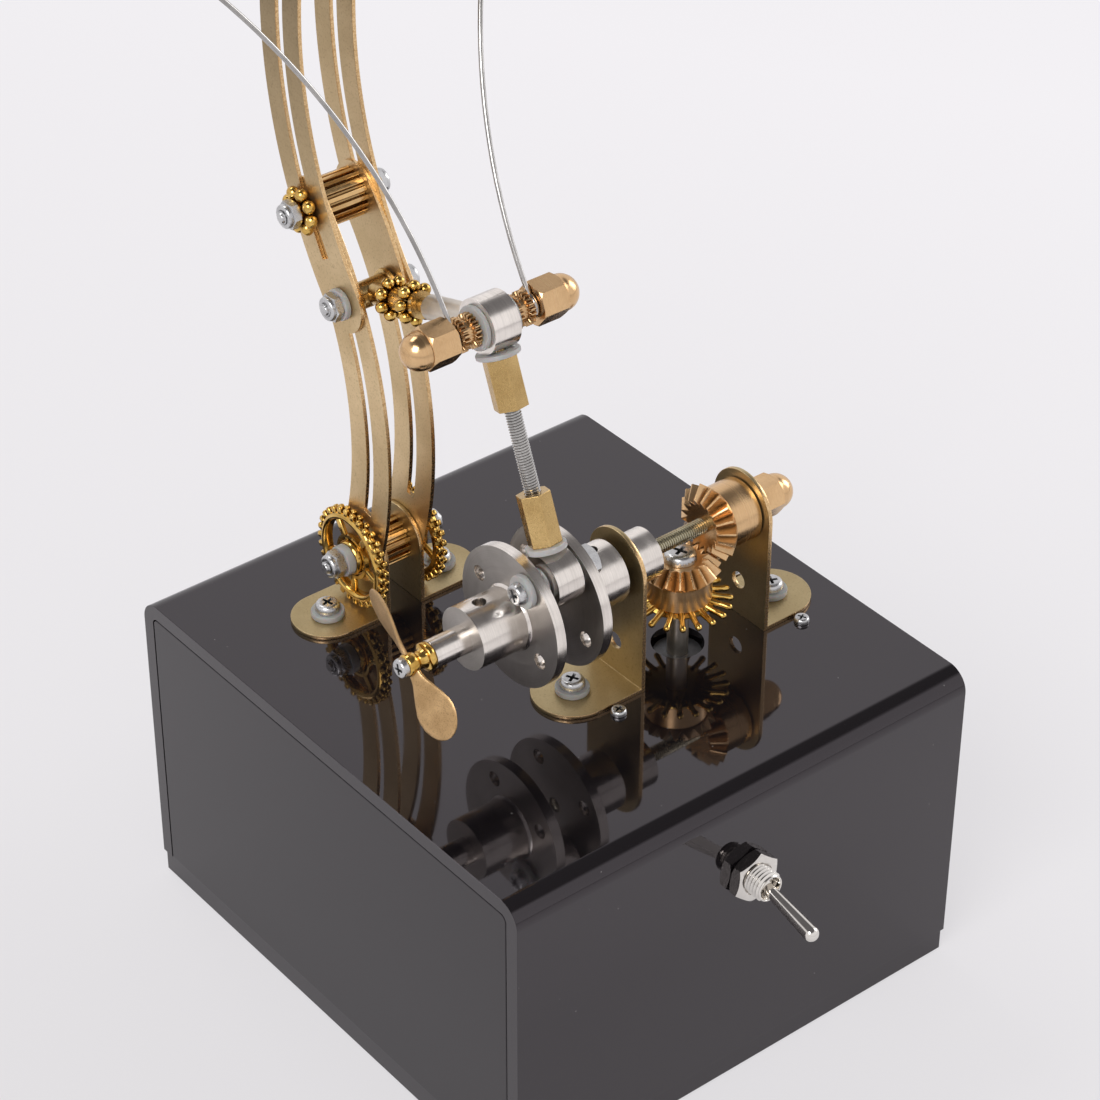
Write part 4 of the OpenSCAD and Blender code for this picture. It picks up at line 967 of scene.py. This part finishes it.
def make_crown():
    """Flared skirt under the motor gear with outward fingers."""
    top = 0.68
    form = Form().turned([(2.01, -0.5), (6.2, -0.5), (6.75, -0.2), (6.75, 0.1), (6.2, 0.35), (5.75, top),
                          (2.01, top)], 72, closed=True)
    finger = Form().loft([circle(0.85, 0.2, 12, 0.85), circle(0.66, 1.3, 12, 0.9), circle(0.55, 2.8, 12),
                          circle(0.66, 3.8, 12), circle(0.56, 4.25, 12), circle(0.24, 4.5, 12)])
    form.add(finger, *[spot @ shift(0, 0, 0.1) @ turn(98, "Y") for spot in round_spots(20, 5.6)])
    place = shift(*MOTOR, span("crown_wheel")[1].z - top)
    piece(Form().add(form, place), "finger_crown_wheel", [GOLD], "crown_wheel", sharp=50)


def make_propeller():
    """Two twisted blades on a waisted boss."""
    # distance from the axis, half width, half thickness and pitch in degrees along a blade
    sections = ((0.4, 1.1, 0.55, 26), (2.5, 1.35, 0.5, 23), (3.6, 1.75, 0.44, 21), (5.2, 2.75, 0.40, 19),
                (6.8, 3.75, 0.38, 17), (8.4, 4.6, 0.36, 16), (9.8, 4.88, 0.34, 15), (11.2, 4.64, 0.32, 15),
                (12.6, 3.92, 0.30, 14), (13.6, 2.94, 0.28, 14), (14.2, 1.92, 0.26, 14), (14.52, 0.8, 0.2, 14))
    rings = []
    for at, half, thick, pitch in sections:
        c, s = math.cos(math.radians(pitch)), math.sin(math.radians(pitch))
        ring = []
        for u, v, _ in circle(1.0, 0, 24):
            u, v = u * half, math.copysign(abs(v) ** 0.6, v) * thick
            ring.append((at, -(c * u - s * v), s * u + c * v))
        rings.append(ring)
    blade = Form().loft(rings)
    hub = shift(PROP_X, *SHAFT) @ turn(41, "X") @ turn(90, "Z") @ turn(90, "X")
    boss = Form().turned([(1.02, BOSS_FRONT), (1.75, BOSS_FRONT), (2.05, -0.9), (2.05, 0.6), (1.8, 0.95),
                          (1.6, 1.2), (1.65, 2.3), (1.9, 2.75), (2.5, 2.85), (2.65, 3.0), (2.65, 3.9),
                          (2.5, BOSS_BACK), (1.02, BOSS_BACK)], 40, closed=True)
    form = Form().add(blade, hub, hub @ turn(180)).add(boss.tint(1), along_x(PROP_X, SHAFT))
    piece(form, "twisted_propeller", [BLASTED_BRASS, GOLD], "propeller", sharp=50)


def make_switch_body():
    """Body with three tags behind the front wall, and a ridged bushing with a recess for the lever."""
    inside, back, z = FRONT_Y + HOOD_WALL, span("toggle_body")[1].y, middle("toggle_body").z
    body_size, tag_size = (13, 9.5, 8), (0.8, 4.5, 2)
    body = Form().block(body_size, (0, inside + body_size[1] / 2, z), 0.3)
    for i in (-1, 0, 1):
        body.add(Form().block(tag_size, (i * 4.7, back - tag_size[1] / 2, z), 0.1), Matrix())
    ridges = [(2.98 if i % 2 else 2.6, 0.4 + 0.375 * i) for i in range(23)]
    bushing = Form().turned([(0, 0.2), (2.6, 0.2), *ridges, (2.75, 8.8), (2.62, 8.98), (2.35, 8.98),
                             (2.25, 8.85), (2.25, 4.5), (0, 4.5)], 48)
    form = Form().add(body.tint(1), Matrix()).add(bushing, shift(0, inside, z) @ turn(90, "X"))
    piece(form, "switch_body_and_bushing", [CHROME, DARK_PLASTIC], "toggle_body", sharp=50)


def make_switch_nut():
    place = shift(0, FRONT_Y - SEAT, middle("toggle_nut").z) @ turn(90, "X") @ turn(50)
    piece(Form().add(hex_nut(9.0, 2.6, 3.05, 0.25), place), "switch_nut", [CHROME], "toggle_nut")


make_softened()
make_link_rod()
make_crank_shaft()
make_foot_screws()
make_motor_screws()
make_gear_screw()
make_crank_pin()
make_propeller_screw()
make_mast_bolts()
make_lap_bolts()
make_wheels()
make_mast_beads()
make_guide_arm()
make_knurled_nuts()
make_crown()
make_propeller()
make_switch_body()
make_switch_nut()

set_camera()
set_world()
set_floor()
add_lamp("key_softbox", (-0.75, -0.35, 0.85), (0.55, 0.55), 7.0)
add_lamp("fill_softbox", (1.0, -0.22, 0.55), (0.5, 0.7), 4.0)
add_lamp("back_softbox", (-0.12, 0.72, 1.25), (0.7, 0.35), 3.4)
bpy.context.scene.view_settings.view_transform = "Standard"
